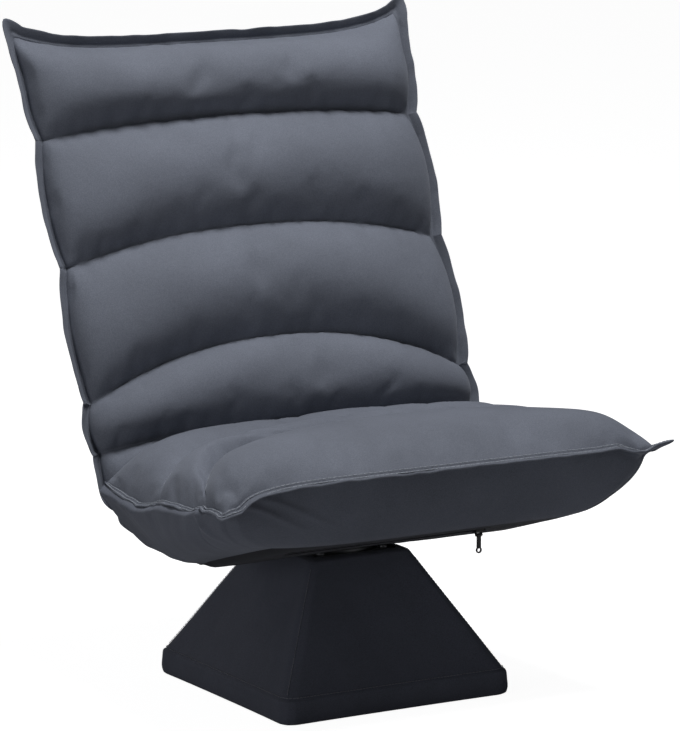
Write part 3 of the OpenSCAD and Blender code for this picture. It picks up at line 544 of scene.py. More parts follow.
# %% A stitched flange along a border
def flange_mesh(name, border, outward, normals, width, thick=0.0032, curl=0.004, wavy=0.0022, pleats=0.0, seed=3):
    """A closed strip along border. outward is each point's direction and reach, normals its front."""
    count = len(border)
    normals = np.broadcast_to(normals, (count, 3))
    pleats = np.broadcast_to(pleats, count)
    profile = [(0.0, 0.45), (0.18, 0.1), (0.30, 0.05), (0.42, 0.5), (0.7, 0.55), (0.92, 0.45), (1.0, 0.0),
               (0.92, -0.45), (0.6, -0.5), (0.30, -0.3), (0.0, -0.5), (-0.15, 0.0)]
    steps = np.cumsum(np.r_[0, np.linalg.norm(np.diff(border, axis=0), axis=1)])
    points = []
    for i in range(count):
        ripple = noise_at(steps[i] * 26, seed, 0) + 0.6 * noise_at(steps[i] * 70, seed, 4)
        trim = 1 + 0.10 * noise_at(steps[i] * 34, seed, 9)
        pleat = pleats[i] * (1 - 3.2 * abs(noise_at(steps[i] * 21, seed, 13)))
        for t, h in profile:
            rise = curl * max(t, 0) ** 1.6 + (wavy * ripple + pleat) * max(t, 0) ** 1.2
            points.append(border[i] + outward[i] * (t * width * trim) + normals[i] * (h * thick + rise))
    sides = len(profile)
    ends = [tuple(range(sides))[::-1], tuple((count - 1) * sides + k for k in range(sides))]
    return mesh_object(name, points, grid_faces(count, sides, wrap=True) + ends)


def border_directions(flat, corners, ears):
    """Outward directions in the border's plane; at the named corners they point out diagonally."""
    ahead = np.gradient(flat, axis=0)
    ahead /= np.linalg.norm(ahead, axis=1)[:, None]
    out = np.stack([-ahead[:, 1], ahead[:, 0]], 1)
    for c, ear in zip(corners, ears):
        before, after = out[max(c - 3, 0)], out[min(c + 3, len(out) - 1)]
        for k in range(-4, 5):
            if 0 <= c + k < len(out):
                blend = lerp(before, after, (k + 4) / 8)
                blend /= np.linalg.norm(blend)
                out[c + k] = blend * (1 + (ear - 1) * (1 - abs(k) / 4.5) ** 2)
    return out


def stitch_row(name, points, up, material, body, length=0.0026, gap=0.0007, radius=0.00045, lift=0.0003):
    """Short raised stitches, end to end along a line of points."""
    steps = np.cumsum(np.r_[0, np.linalg.norm(np.diff(points, axis=0), axis=1)])
    margin, sides = 0.004, 5
    at, verts, faces = margin, [], []
    while at + length < steps[-1] - margin:
        ends = [np.array([np.interp(s, steps, points[:, k]) for k in range(3)]) for s in (at, at + length)]
        ahead = ends[1] - ends[0]
        ahead /= np.linalg.norm(ahead)
        across = np.cross(ahead, up)
        across /= np.linalg.norm(across)
        base = len(verts)
        for t, r in ((0.0, 0.45), (0.2, 1.0), (0.8, 1.0), (1.0, 0.45)):
            middle = lerp(ends[0], ends[1], t) + up * (lift + radius * 0.6 * math.sin(math.pi * t))
            for k in range(sides):
                angle = 2 * math.pi * k / sides
                verts.append(middle + radius * r * (math.cos(angle) * across + math.sin(angle) * up))
        faces += [tuple(base + v for v in f) for f in grid_faces(4, sides, wrap=True)]
        faces += [tuple(base + k for k in range(sides))[::-1], tuple(base + 3 * sides + k for k in range(sides))]
        at += length + gap
    piece = mesh_object(name, verts, faces)
    piece.data.materials.append(material)
    if body:
        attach(piece, body)
    return piece


# %% [markdown]
# The back's border is the outer ring of the grid's own points, so the flange starts exactly where
# the quilted cloth ends: up the left side, over the top, and down the right side.

# %% Back cushion and its flange
def finish_cloth(piece, material, slot, subdivide=1):
    piece.data.materials.append(material)
    if subdivide:
        modifier = piece.modifiers.new("soften", "SUBSURF")
        modifier.levels = modifier.render_levels = subdivide
    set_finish(piece, slot)


back_cushion = grid_object("back_cushion_quilt", on_back(back_grid))
finish_cloth(back_cushion, cover_cloth, "cover_fabric", 0)
# The border's two lower ends turn in under the lowest roll
LOBE = np.array([[0.009, 0.002, -0.0060], [0.005, 0.001, -0.0050], [0.002, 0.0, -0.0028]])
lobe_left = back_grid[0, 0] + LOBE
lobe_right = back_grid[0, -1] + LOBE[::-1] * (-1, 1, 1)
border = np.concatenate([lobe_left, back_grid[:, 0], back_grid[-1, 1:], back_grid[-2::-1, -1], lobe_right])
rows, columns, _ = back_grid.shape
corner_at = [len(LOBE) + rows - 1, len(LOBE) + rows + columns - 2]
directions = border_directions(border[:, [0, 2]], corner_at, (2.3, 1.9))
outward = np.stack([directions[:, 0], np.zeros(len(border)), directions[:, 1]], 1)
BACK_FLANGE = 0.0115
back_flange = flange_mesh("back_flange", on_back(border), outward @ LEAN.T, LEAN @ np.array([0, -1.0, 0]), BACK_FLANGE,
                          curl=0.008, wavy=0.0034)
finish_cloth(back_flange, edge_cloth_painted_shade, "cover_fabric")
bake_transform(back_cushion)
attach(back_flange, "back")
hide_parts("back_cushion")
print("back cushion made")

# %% [markdown]
# The seat's edge seam lies in a plane that rises to the front. On it the border isn't straight: the
# full front roll lifts it in the middle, the side rolls push it up and down, and the front corners
# are left as loose ears, the right one flaring up and out.

# %% The seat's edge seam
SEAT_SLOPE = math.tan(math.radians(6))
SEAT_FRONT = -0.230
SEAT_SEAM_HEIGHT = 0.2756
SEAT_NORMAL = np.array([0, math.sin(math.atan(SEAT_SLOPE)), math.cos(math.atan(SEAT_SLOPE))])
SEAT_CROWN = 0.049
SEAT_HALF_FRONT = 0.2625
SEAT_HALF_REAR = 0.250
# Each cross seam runs at y = middle + tilt * a + side * |a| ** power across the seat, and the last
# number is how high its crease stays
SEAT_SEAMS = [(-0.230, 0.0, 0.004, 6.0, 0.0), (-0.052, 0.010, -0.120, 4.0, 0.66),
              (-0.006, 0.018, -0.046, 1.6, 0.88), (0.064, 0.0, -0.006, 2.0, 0.0)]


def seat_plane(y):
    return SEAT_SEAM_HEIGHT - (y - SEAT_FRONT) * SEAT_SLOPE


def seat_seam(seam, a):
    middle, tilt, side, power, _ = seam
    return middle + tilt * a + side * np.abs(a) ** power


# In front the edge seam rises in the middle and hangs at the left corner, and this fades rearwards
FRONT_RISE, LEFT_HANG, FRONT_REACH = 0.013, 0.010, 0.035
CORNER_FROM = 0.93
# At the sides it sags between the cross seams
SIDE_SAG, SIDE_SWING, SIDE_FROM = 0.0085, 0.0055, 0.8


def seat_border_lift(a, y, u):
    """How far the edge seam rises over its plane at a point near the border."""
    front = np.exp(-np.maximum(0, y - SEAT_FRONT) / FRONT_REACH)
    full = FRONT_RISE * np.maximum(0, 1 - (np.abs(a) / CORNER_FROM) ** 8)
    hanging = LEFT_HANG * np.maximum(0, np.abs(a) - CORNER_FROM) / (1 - CORNER_FROM) * (a < 0)
    side = np.clip((np.abs(a) - SIDE_FROM) / (1 - SIDE_FROM), 0, 1) ** 2
    sag = -SIDE_SAG - SIDE_SWING * math.cos(2 * math.pi * u)
    return front * (full - hanging) + side * sag * (1 - front)


# %% Quilted top of the seat
SEAT_ROLL_ROWS = (26, 26, 26)


def seat_top(columns=120):
    a = across_grid(columns)
    points, seam_rows = [], []
    for _, u, low, high, on_seam in roll_rows(SEAT_SEAMS, SEAT_ROLL_ROWS):
        if on_seam:
            seam_rows.append(len(points))
        y = lerp(seat_seam(low, a), seat_seam(high, a), u)
        height = roll_height(a, u, low[4], high[4], side_power=np.where(a > 0, 8.0, 5.0), round_power=2.4,
                             bulge_power=0.66)
        width = lerp(SEAT_HALF_FRONT, SEAT_HALF_REAR, np.clip((y - SEAT_FRONT) / 0.28, 0, 1))
        base = np.stack([a * width, y, seat_plane(y) + seat_border_lift(a, y, u)], 1)
        points.append(base + SEAT_NORMAL * (SEAT_CROWN * height)[:, None])
    return np.array(points), seam_rows


# At the right front corner the stuffed cloth itself runs out into the ear
EAR_PULL = np.array([0.008, -0.009, 0.005])
EAR_SPREAD = 0.085
# Folds that fan out over the top from the left front corner: heading in degrees, length, height
CORNER_FOLDS = ((78, 0.085, 0.0042), (55, 0.070, 0.0034), (30, 0.080, 0.0030), (104, 0.060, 0.0030))
FOLD_WIDTH = 0.0055


def shape_corners(grid):
    """Pulls the right front corner out into its ear and raises the folds at the left one."""
    right, left = grid[0, -1].copy(), grid[0, 0].copy()
    near = np.clip(1 - np.linalg.norm((grid - right)[:, :, :2], axis=2) / EAR_SPREAD, 0, 1) ** 2
    grid = grid + near[:, :, None] * EAR_PULL
    across, ahead = grid[:, :, 0] - left[0], grid[:, :, 1] - left[1]
    lift = 0
    for heading, length, height in CORNER_FOLDS:
        c, s = math.cos(math.radians(heading)), math.sin(math.radians(heading))
        along, aside = across * c + ahead * s, across * s - ahead * c
        run = np.clip(along / 0.012, 0, 1) * np.clip(1 - along / length, 0, 1)
        ridge = np.exp(-(aside / FOLD_WIDTH) ** 2)
        hollow = 0.5 * np.exp(-((aside - 1.7 * FOLD_WIDTH) / FOLD_WIDTH) ** 2)
        lift = lift + height * run * (ridge - hollow)
    return grid + np.asarray(lift)[:, :, None] * SEAT_NORMAL


# How the edge seam runs up and down: distance from the rear of the left side, round the left front
# corner and along the front to the right ear, and height there
EDGE_WAVES = np.array([(0, 0.0125), (0.011, 0.0095), (0.032, 0.0005), (0.060, -0.0120), (0.088, -0.0135),
                       (0.113, -0.0050), (0.136, 0.0015), (0.150, 0.0015), (0.172, -0.0050), (0.197, -0.0085),
                       (0.220, -0.0050), (0.238, 0.0050), (0.250, 0.0065), (0.260, 0.0010), (0.271, -0.0050),
                       (0.280, -0.0085), (0.296, -0.0020), (0.312, -0.0040), (0.323, 0), (0.680, -0.0010),
                       (0.729, -0.0010), (0.756, 0), (0.782, 0.0035), (0.798, -0.0010), (0.812, -0.0035),
                       (0.818, -0.0030), (0.828, 0), (0.836, 0.0010), (0.900, 0)])
WAVE_REACH = 0.032


def wave_edge(grid):
    """Moves the border up and down by EDGE_WAVES; the cloth beside it follows, less with distance."""
    side, front = grid[::-1, 0], grid[0, 1:]
    line = np.concatenate([side, front])
    at = np.cumsum(np.r_[0, np.linalg.norm(np.diff(line, axis=0), axis=1)])
    lift = np.interp(at, EDGE_WAVES[:, 0], EDGE_WAVES[:, 1])
    from_side, from_front = lift[:len(side)][::-1], lift[len(side) - 1:]
    near_side = np.exp(-(np.linalg.norm(grid - grid[:, :1], axis=2) / WAVE_REACH) ** 2)
    near_front = np.exp(-(np.linalg.norm(grid - grid[:1], axis=2) / WAVE_REACH) ** 2)
    total = near_side * from_side[:, None] + near_front * from_front[None, :]
    moved = grid.copy()
    moved[:, :, 2] += total / np.maximum(1, near_side + near_front)
    return moved


seat_grid, seat_seam_rows = seat_top()
seat_grid = shape_corners(seat_grid)
# Each cross seam stands up as a fine ridge where the two panels' edges meet, with a hollow beside it
SEAM_RIDGE = 0.0018
RIDGE_SHARES = ((0, 1.0), (-1, -0.45), (1, -0.45))
for k in seat_seam_rows[1:-1]:
    for step, share in RIDGE_SHARES:
        seat_grid[k + step, 3:-3] += SEAM_RIDGE * share * SEAT_NORMAL
seat_grid = pucker(seat_grid, seat_seam_rows, SEAT_NORMAL, 12, depth=0.0010, side_depth=0.0030)
seat_grid = wave_edge(seat_grid)
seat_grid = settle_cloth(seat_grid, held_points(seat_grid, seat_seam_rows), spare=0.008)

# %% [markdown]
# The seat's flange runs from the rear of the left side, round both front ears, to the rear of the
# right side. The top cushion takes its own outer points as the border, as the back did.

# %% Seat cushion and its flange
seat_cushion = grid_object("seat_cushion_quilt", seat_grid)
finish_cloth(seat_cushion, cover_cloth, "cover_fabric", 0)
seat_border = np.concatenate([seat_grid[::-1, 0], seat_grid[0, 1:], seat_grid[1:, -1]])
rows, columns, _ = seat_grid.shape
seat_corners = [rows - 1, rows + columns - 2]
directions = -border_directions(seat_border[:, :2], seat_corners, (1.15, 1.7))
outward = np.stack([directions[:, 0], directions[:, 1], np.zeros(len(seat_border))], 1)
# How far each front ear leaves the diagonal, in flange widths: the left one hangs, the right one flares up
EAR_PULLS = (np.array([0, 0, -0.05]), np.array([0.02, 0, 0.75]))
EAR_REACH = 0.075
border_length = np.cumsum(np.r_[0, np.linalg.norm(np.diff(seat_border, axis=0), axis=1)])
for corner, pull in zip(seat_corners, EAR_PULLS):
    near = np.clip(1 - np.abs(border_length - border_length[corner]) / EAR_REACH, 0, 1) ** 2
    outward += near[:, None] * pull
# The flange droops: most on the left side, where its face shows, less along the front
index = np.arange(len(seat_border))
left_side = np.clip((seat_corners[0] + 4 - index) / 10, 0, 1)
flared = np.clip(1 - np.abs(border_length - border_length[seat_corners[1]]) / EAR_REACH, 0, 1)
DROOP_FRONT, DROOP_LEFT = 28, 38
droop = np.radians(lerp(DROOP_FRONT, DROOP_LEFT, left_side) * (1 - flared))
down, up = np.array([0, 0, -1.0]), np.array([0, 0, 1.0])
# On the left side it is narrower than in front, and narrowest at its rear end
rear_end = np.clip(border_length / 0.03, 0, 1)
flat_out = outward * lerp(1, lerp(0.15, 0.60, rear_end), left_side)[:, None]
reach = np.linalg.norm(flat_out, axis=1, keepdims=True)
outward = flat_out * np.cos(droop)[:, None] + reach * down * np.sin(droop)[:, None]
seat_normals = up * np.cos(droop)[:, None] + flat_out / reach * np.sin(droop)[:, None]
SEAT_FLANGE = 0.0120
SEAT_FLANGE_CURL = 0.001
seat_flange = flange_mesh("seat_flange", seat_border, outward, seat_normals, SEAT_FLANGE, thick=0.0034,
                          curl=SEAT_FLANGE_CURL, wavy=0.0022, pleats=lerp(0.0008, 0.0016, left_side), seed=8)
finish_cloth(seat_flange, edge_cloth_painted_shade, "cover_fabric")
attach(seat_flange, "seat")
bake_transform(seat_cushion)
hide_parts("seat_cushion")

# %% [markdown]
# Two rows of long stitches hold the flange. They sit on its upper face, one near the cushion and
# one further out, and their lighter thread, a painted highlight, shows them as two fine light lines.

# %% Stitches on the seat's flange and cross seams
FLANGE_HALF_THICK = 0.0018
for row, share in enumerate((0.22, 0.70)):
    above = FLANGE_HALF_THICK + SEAT_FLANGE_CURL * share ** 1.6
    line = seat_border + outward * (SEAT_FLANGE * share) + seat_normals * above
    stitch_row(f"seat_flange_stitches_{row}", line, up, seam_thread_painted_highlight, "seat", length=0.0060, gap=0.0002, radius=0.00055)

# The cross seams of the seat lie in the open, so their thread shows as well, lighter as a painted highlight
for k in seat_seam_rows[1:-1]:
    line = seat_grid[k, 4:-4] + SEAT_NORMAL * 0.0012
    blended = stitch_row(f"seat_seam_stitches_{k}", line, SEAT_NORMAL, seam_thread_painted_highlight, None)
    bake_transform(blended)
print("seat cushion made")

# %% [markdown]
# Under the flange hangs the lower cover, a shallow bowl pulled over the foam. Its top edge is the
# seat's own border, its lower edge a smaller round-cornered ring that rises towards the front. In
# between, the cloth bellies out and turns under. Folds start at the flange, where more cloth is
# gathered than the stitches need, and fade downwards; three pulls run down by the left front corner.

# %% Lower cover of the seat
BOWL_BOTTOM_HALF = 0.190
BOWL_BOTTOM_FRONT = -0.1925
BOWL_REAR = 0.048
# The bottom is level behind BOWL_FLAT_FROM and rises in front of it
BOWL_BOTTOM_Z = 0.1617
BOWL_FLAT_FROM = -0.050
BOWL_RISE = 0.31
BOWL_REAR_TUCK = 0.040
REAR_LEAN_FROM = -0.14
# How much higher the lower ring lies at the left
LEFT_TUCK = 0.0070
# Below the right ear, over this distance, and at the rear the cloth runs down straighter
EAR_CONE = 0.12
EAR_STRAIGHT, REAR_STRAIGHT = 0.15, 0.85
# Rows lie closer together at the lower ring
LEVEL_POWER = 0.85


def bowl_bottom_z(y):
    return BOWL_BOTTOM_Z + BOWL_RISE * np.maximum(0, BOWL_FLAT_FROM - y)


def round_ring(across, ahead, power):
    """Share by which points of a square ring are pulled in to a round-cornered one."""
    return (np.abs(across) ** power + np.abs(ahead) ** power) ** (-1 / power)


def lower_cover_grid(levels=26):
    border = seat_border - np.array([0, 0, 0.0006])
    across = np.clip(border[:, 0] / np.abs(border[:, 0]).max(), -1, 1)
    ahead = np.clip((BOWL_REAR - border[:, 1]) / (BOWL_REAR - SEAT_FRONT), 0, 1)
    across = np.where(np.abs(across) > 0.93, np.sign(across) * np.minimum(1, np.abs(border[:, 0]) / np.interp(
        border[:, 1], [SEAT_FRONT, BOWL_REAR], [SEAT_HALF_FRONT, SEAT_HALF_REAR])), across)
    lengths = np.cumsum(np.r_[0, np.linalg.norm(np.diff(border, axis=0), axis=1)])
    ear_at = seat_border[seat_corners[1]]
    rows = []
    for g in np.linspace(0, 1, levels) ** LEVEL_POWER:
        # From 1 at the edge seam to 0 at the lower ring: how far the sides and the front stand out
        belly = max(0.0, 1 - g ** 2.5) ** (1 / 2.3)
        tuck = max(0.0, 1 - g ** 1.8) ** (1 / 1.8)
        pull = round_ring(across, ahead, lerp(26, np.where(across > 0, 15, 8), g ** 0.4))
        rear = smooth(np.clip((border[:, 1] - REAR_LEAN_FROM) / (BOWL_REAR - REAR_LEAN_FROM), 0, 1))
        ear = np.clip(1 - np.hypot(border[:, 0] - ear_at[0], border[:, 1] - ear_at[1]) / EAR_CONE, 0, 1)
        spread = lerp(belly, 1 - g, np.maximum(REAR_STRAIGHT * rear, EAR_STRAIGHT * ear))
        tuck = lerp(tuck, 1 - g, EAR_STRAIGHT * ear)
        x = across * pull * lerp(BOWL_BOTTOM_HALF, np.abs(border[:, 0]).max(), spread)
        front_y = lerp(BOWL_BOTTOM_FRONT, SEAT_FRONT, tuck)
        y = BOWL_REAR - ahead * pull * (BOWL_REAR - front_y)
        y = y + BOWL_REAR_TUCK * g ** 0.7 * np.clip((y + 0.09) / 0.13, 0, 1) * (1 - 0.75 * across ** 4)
        z = lerp(border[:, 2], bowl_bottom_z(y), g)
        z = z + LEFT_TUCK * np.clip(-across, 0, 1) ** 4 * np.clip(-y / 0.06, 0, 1) * g
        at_seam = np.clip(1 - g / 0.08, 0, 1)
        rows.append(lerp(np.stack([x, y, z], 1), border, at_seam))
    return np.array(rows), lengths


cover_grid, cover_lengths = lower_cover_grid()


def outward_of(grid):
    """Outward direction of a grid's points, from its own neighbours."""
    d_row, d_column = np.gradient(grid, axis=0), np.gradient(grid, axis=1)
    n = np.cross(d_column, d_row)
    return n / np.maximum(1e-9, np.linalg.norm(n, axis=2))[:, :, None]


# Depth of the gathered folds in front and at the sides, and of the slow sway of the whole cloth
GATHER_FRONT, GATHER_SIDE, SWAY = 0.0018, 0.0052, 0.0038
# The pulls by the left front corner: offset along the border, slant, depth
CORNER_PULLS = ((0.016, 0.10, 0.0045), (0.034, 0.13, 0.0035), (-0.055, 0.05, 0.0035))
PULL_WIDTH = 0.0055


def fold_lower_cover(grid, lengths):
    g = np.linspace(0, 1, len(grid))[:, None] ** LEVEL_POWER
    side = np.clip((np.abs(grid[0, :, 0]) - 0.235) / 0.03, 0, 1)[None, :]
    gathered = np.array([noise_at(s * 34, 0.5, 1.7) + 0.7 * noise_at(s * 75, 2.5, 0.7) for s in lengths])[None, :]
    hanging = gathered * np.exp(-g / 0.28) * lerp(GATHER_FRONT, GATHER_SIDE, side) * np.minimum(1, g / 0.07)
    hanging = hanging * np.clip(np.minimum(lengths, lengths[-1] - lengths) / 0.06, 0, 1)
    sway = np.array([[noise_at(s * 7, level * 1.6, 4.2) for s in lengths] for level in g[:, 0]]) * SWAY
    sway *= np.minimum(1, g / 0.15) * (1 - g ** 4)
    corner = lengths[seat_corners[0]]
    pulls = 0
    for offset, slant, depth in CORNER_PULLS:
        track = lengths[None, :] - (corner + offset + slant * g)
        pulls = pulls - (depth * np.exp(-(track / PULL_WIDTH) ** 2) * np.clip(g / 0.06, 0, 1)
                         * np.clip((0.8 - g) / 0.5, 0, 1))
    return grid + outward_of(grid) * (hanging + sway + pulls)[:, :, None]


cover_grid = fold_lower_cover(cover_grid, cover_lengths)
seat_cover = grid_object("seat_lower_cloth", cover_grid)
finish_cloth(seat_cover, under_cloth_painted_shade, "cover_fabric")
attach(seat_cover, "seat")
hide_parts("seat_lower_cover")

# %% [markdown]
# A thin black lining closes the bowl. It is sewn to the bowl's lower ring and has a round hole for
# the swivel, so it is a flat ring of cloth that sags slightly between the two.

# %% Bottom lining with its hole
PANEL_REAR = 0.0616
HOLE_RADIUS = 0.0742
# The lining sags over the outer part of its width and is uneven all over
LINING_SAG, LINING_SAG_WIDTH, LINING_SLACK = 0.0006, 0.625, 0.002


def bottom_lining(rings=14, rear_points=40):
    outer = cover_grid[-1]
    rear_y = np.full(rear_points, PANEL_REAR)
    rear_x = np.linspace(outer[-1, 0], outer[0, 0], rear_points + 2)[1:-1]
    outer = outer[outer[:, 1] < PANEL_REAR]
    outer = np.concatenate([outer, np.stack([rear_x, rear_y, bowl_bottom_z(rear_y)], 1)])
    angle = np.arctan2(outer[:, 1], outer[:, 0])
    order = np.argsort(angle)
    outer, angle = outer[order], angle[order]
    hole = np.stack([HOLE_RADIUS * np.cos(angle), np.minimum(HOLE_RADIUS * np.sin(angle), PANEL_REAR - 0.004)], 1)
    points = []
    for t in np.linspace(0, 1, rings):
        xy = lerp(outer[:, :2], hole, t)
        slack = np.array([noise_at(p[0] * 14, p[1] * 14, 3.3) for p in xy]) * LINING_SLACK
        sag = -LINING_SAG * math.sin(math.pi * min(1, t / LINING_SAG_WIDTH))
        z = bowl_bottom_z(xy[:, 1]) + 0.0008 * t + sag + slack * math.sin(math.pi * t)
        if t == 0:
            z = outer[:, 2]
        points.append(np.stack([xy[:, 0], xy[:, 1], z], 1))
    return np.array(points)


lining_grid = bottom_lining()
lining = grid_object("seat_bottom_lining", lining_grid, wrap=True)
finish_cloth(lining, lining_cloth, "lining_fabric")
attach(lining, "seat")
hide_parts("seat_bottom_panel")

# %% [markdown]
# Behind the hinge one loose piece of cloth joins the seat's cover to the back's: its lower edge
# meets the seat, its upper edge the back. It bulges out behind the hinge, and its two ends run in
# to meet the lower cover below and the rear cover above.

# %% Cloth behind the hinge
# Its lower and upper edge in the middle: distance back and height
GUSSET_LOW = np.array([0.058, 0.1640])
GUSSET_HIGH = np.array([0.112, 0.2295])
GUSSET_BULGE, GUSSET_SLACK = 0.024, 0.0022
# Where its two ends meet the covers, from the seat up: height, distance back and half width
GUSSET_END_Z = np.array([0.170, 0.198, 0.2275])
GUSSET_END_Y = np.array([0.067, 0.0655, 0.0790])
GUSSET_END_HALF = np.array([0.196, 0.227, 0.2280])


def hinge_cloth(columns=72, rows=20):
    points = []
    span = GUSSET_HIGH - GUSSET_LOW
    out = np.array([span[1], -span[0]]) / np.linalg.norm(span)
    for t in np.linspace(0, 1, rows):
        arc = GUSSET_LOW + span * t + out * GUSSET_BULGE * math.sin(math.pi * t)
        end = np.array([np.interp(t, (0, 0.5, 1), line) for line in (GUSSET_END_Y, GUSSET_END_Z)])
        half = np.interp(t, (0, 0.5, 1), GUSSET_END_HALF)
        row = []
        for a in across_grid(columns):
            close = max(0.0, 1 - abs(a) ** 8) ** (1 / 2.4)
            slack = GUSSET_SLACK * noise_at(a * 16, t * 3, 8.1) * close
            yz = end + (arc - end) * close + out * slack
            row.append((a * half, yz[0], yz[1]))
        points.append(row)
    return np.array(points)


gusset_grid = hinge_cloth()
gusset = grid_object("hinge_cloth", gusset_grid)
finish_cloth(gusset, under_cloth_painted_shade, "cover_fabric")
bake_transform(gusset)
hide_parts("hinge_gusset")
print("lower cover, lining and hinge cloth made")

# %% [markdown]
# The rear cover is a plain cloth shell over the back's frame. It starts at the same edge seam as
# the quilted front and swells rearwards, flatter in the middle where the wadding is, with a soft
# turn at the sides and a few slack ripples. Its lower edge turns in under the back.

# %% Rear cover of the back
REAR_DEPTH = 0.0475
# Higher powers keep the cloth full closer to its edges
REAR_SIDE_POWER, REAR_TOP_POWER, REAR_LOW_POWER = 9, 32, 13


def rear_cover(columns=90, rows=110):
    left, right, top, bottom = back_grid[:, 0], back_grid[:, -1], back_grid[-1], back_grid[0]
    points = []
    for b in across_grid(rows):
        row = []
        v = (b + 1) / 2
        for a in across_grid(columns):
            low = lerp(bottom[0, 2], bottom[len(bottom) // 2, 2], 1 - abs(a) ** 2)
            high = np.interp(a, np.linspace(-1, 1, len(top)), top[:, 2])
            z = lerp(low, high, v)
            side = left if a < 0 else right
            x = a * np.interp(z, side[:, 2], np.abs(side[:, 0]))
            end_power = REAR_TOP_POWER if b > 0 else REAR_LOW_POWER
            edge = max(0.0, (1 - abs(a) ** REAR_SIDE_POWER) * (1 - abs(b) ** end_power)) ** 0.5
            ripple = 0.0025 * noise_at(x * 9, z * 6, 2.2) + 0.0012 * noise_at(x * 30, z * 12, 6.2)
            row.append((x, BACK_PLANE + 0.0012 + (REAR_DEPTH + ripple) * edge, z))
        points.append(row)
    return np.array(points)


rear_grid = rear_cover()
rear_faces = [face[::-1] for face in grid_faces(*rear_grid.shape[:2])]
rear_cloth = mesh_object("back_rear_cloth", on_back(rear_grid.reshape(-1, 3)), rear_faces)
finish_cloth(rear_cloth, under_cloth_painted_shade, "cover_fabric", 0)
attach(rear_cloth, "back")
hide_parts("back_rear_cover")

# %% [markdown]
# The foot is a pyramid of four cloth panels sewn at the corners over a tube frame, with an upright
# hem band at the floor. Cloth stretched between tubes pulls in a little on each face, the corner
# seams stand out as fine ridges, and a seam line runs round above the hem. Dark thread follows the
# hem and the four corners.

# %% Foot cover
_, FOOT_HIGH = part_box("base_cover")
FOOT_HALF = FOOT_HIGH.x + 0.002
FOOT_TOP_HALF = 0.062
FOOT_HEM = 0.028
FOOT_TOP = FOOT_HIGH.z
FOOT_CORNER = 0.0165
FACE_SAG = 0.0032
FOOT_SIDE_POINTS, FOOT_CORNER_POINTS = 34, 10
HEM_HEIGHTS = [0.0012, 0.004, 0.009, 0.015, 0.021, 0.0255, 0.0272, 0.0280, 0.0288, 0.0305]
# The hem turns in at the floor, and the faces start a step inside it; a groove marks the seam, a
# ridge each corner
HEM_TUCK, HEM_TUCK_HEIGHT = 0.0035, 0.008
HEM_STEP, HEM_GROOVE, CORNER_RIDGE = 0.0035, 0.0014, 0.0010


def foot_half(z):
    """Half width of the foot at height z."""
    hem = FOOT_HALF - 0.0015 * (1 - math.cos(math.pi * min(1, z / FOOT_HEM))) / 2
    if z <= FOOT_HEM:
        return hem
    share = (z - FOOT_HEM) / (FOOT_TOP - FOOT_HEM)
    return lerp(FOOT_HALF - HEM_STEP, FOOT_TOP_HALF, share)


def foot_ring(z):
    """One closed ring of the foot: round corners, faces drawn in, with a fine ridge at each corner seam."""
    half = foot_half(z)
    share = max(0.0, (z - FOOT_HEM) / (FOOT_TOP - FOOT_HEM))
    corner = lerp(FOOT_CORNER, 0.008, share)
    sag = FACE_SAG * math.sin(math.pi * share) + (0.0008 if z < FOOT_HEM else 0)
    points = []
    for k in range(4):
        turn = math.radians(90 * k)
        c, s = math.cos(turn), math.sin(turn)
        ring = []
        for j in range(FOOT_SIDE_POINTS):
            t = (j + 0.5) / FOOT_SIDE_POINTS * 2 - 1
            ring.append((half - sag * (1 - t ** 4), t * (half - corner)))
        for j in range(FOOT_CORNER_POINTS):
            angle = math.radians(90) * (j + 0.5) / FOOT_CORNER_POINTS
            ridge = CORNER_RIDGE * math.exp(-((j + 0.5 - FOOT_CORNER_POINTS / 2) / 0.9) ** 2)
            centre, radius = half - corner, corner + ridge
            ring.append((centre + radius * math.cos(angle), centre + radius * math.sin(angle)))
        points += [(p[0] * c - p[1] * s, p[0] * s + p[1] * c) for p in ring]
    return points


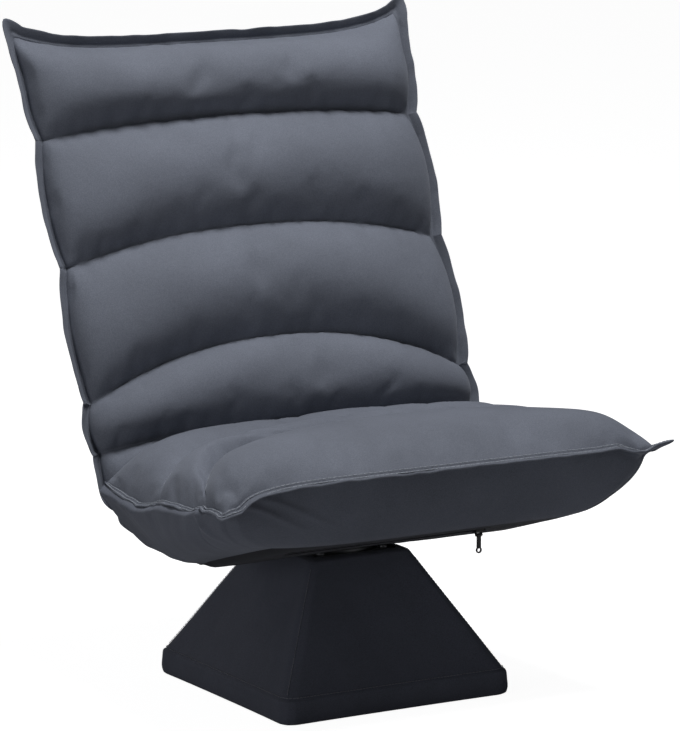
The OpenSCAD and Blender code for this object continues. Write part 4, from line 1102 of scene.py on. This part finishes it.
def foot_cover(levels=46):
    heights = HEM_HEIGHTS + [lerp(0.034, FOOT_TOP - 0.0005, t) for t in np.linspace(0, 1, levels)]
    rows = []
    for z in heights:
        ring = foot_ring(z)
        groove = -HEM_GROOVE * math.exp(-((z - FOOT_HEM) / 0.0011) ** 2)
        tuck = -HEM_TUCK * max(0.0, 1 - z / HEM_TUCK_HEIGHT)
        row = []
        for x, y in ring:
            length = math.hypot(x, y)
            slack = 0.0016 * noise_at(x * 12, y * 12, z * 5) * min(1, max(0, z - FOOT_HEM) / 0.02)
            gather = 0.0008 * noise_at(x * 60, y * 60, z * 8) * math.exp(-abs(z - FOOT_HEM) / 0.012)
            f = (length + groove + tuck + slack + gather) / length
            row.append((x * f, y * f, z))
        rows.append(row)
    rows.append([(x * 0.84, y * 0.84, FOOT_TOP) for x, y in foot_ring(FOOT_TOP)])
    under = [(x * 0.94, y * 0.94, 0.0012) for x, y in foot_ring(0)]
    inner = [(x * 0.80, y * 0.80, 0.0016) for x, y in foot_ring(0)]
    return np.array([inner, under] + rows)


foot_grid = foot_cover()
foot = grid_object("base_cloth", foot_grid, wrap=True)
finish_cloth(foot, foot_cloth_painted_shade, "cover_fabric")
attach(foot, "base")
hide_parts("base_cover")

# Thread above the hem and up the four corner seams
foot_thread = thread_material("dark seam thread", (0.115, 0.122, 0.150))
FOOT_STITCH = {"length": 0.0036, "gap": 0.0005, "radius": 0.0005, "lift": 0}
above_hem = len(HEM_HEIGHTS) + 1
hem_line = foot_grid[above_hem] * np.array([1.003, 1.003, 1])
stitch_row("foot_hem_stitches", np.concatenate([hem_line, hem_line[:1]]), up, foot_thread, "base", **FOOT_STITCH)
for k in range(4):
    corner = (FOOT_SIDE_POINTS + FOOT_CORNER_POINTS) * k + FOOT_SIDE_POINTS + FOOT_CORNER_POINTS // 2 - 1
    corner_line = foot_grid[above_hem:-3, corner] * np.array([1.004, 1.004, 1])
    stitch_row(f"foot_corner_stitches_{k}", corner_line, up, foot_thread, "base", **FOOT_STITCH)
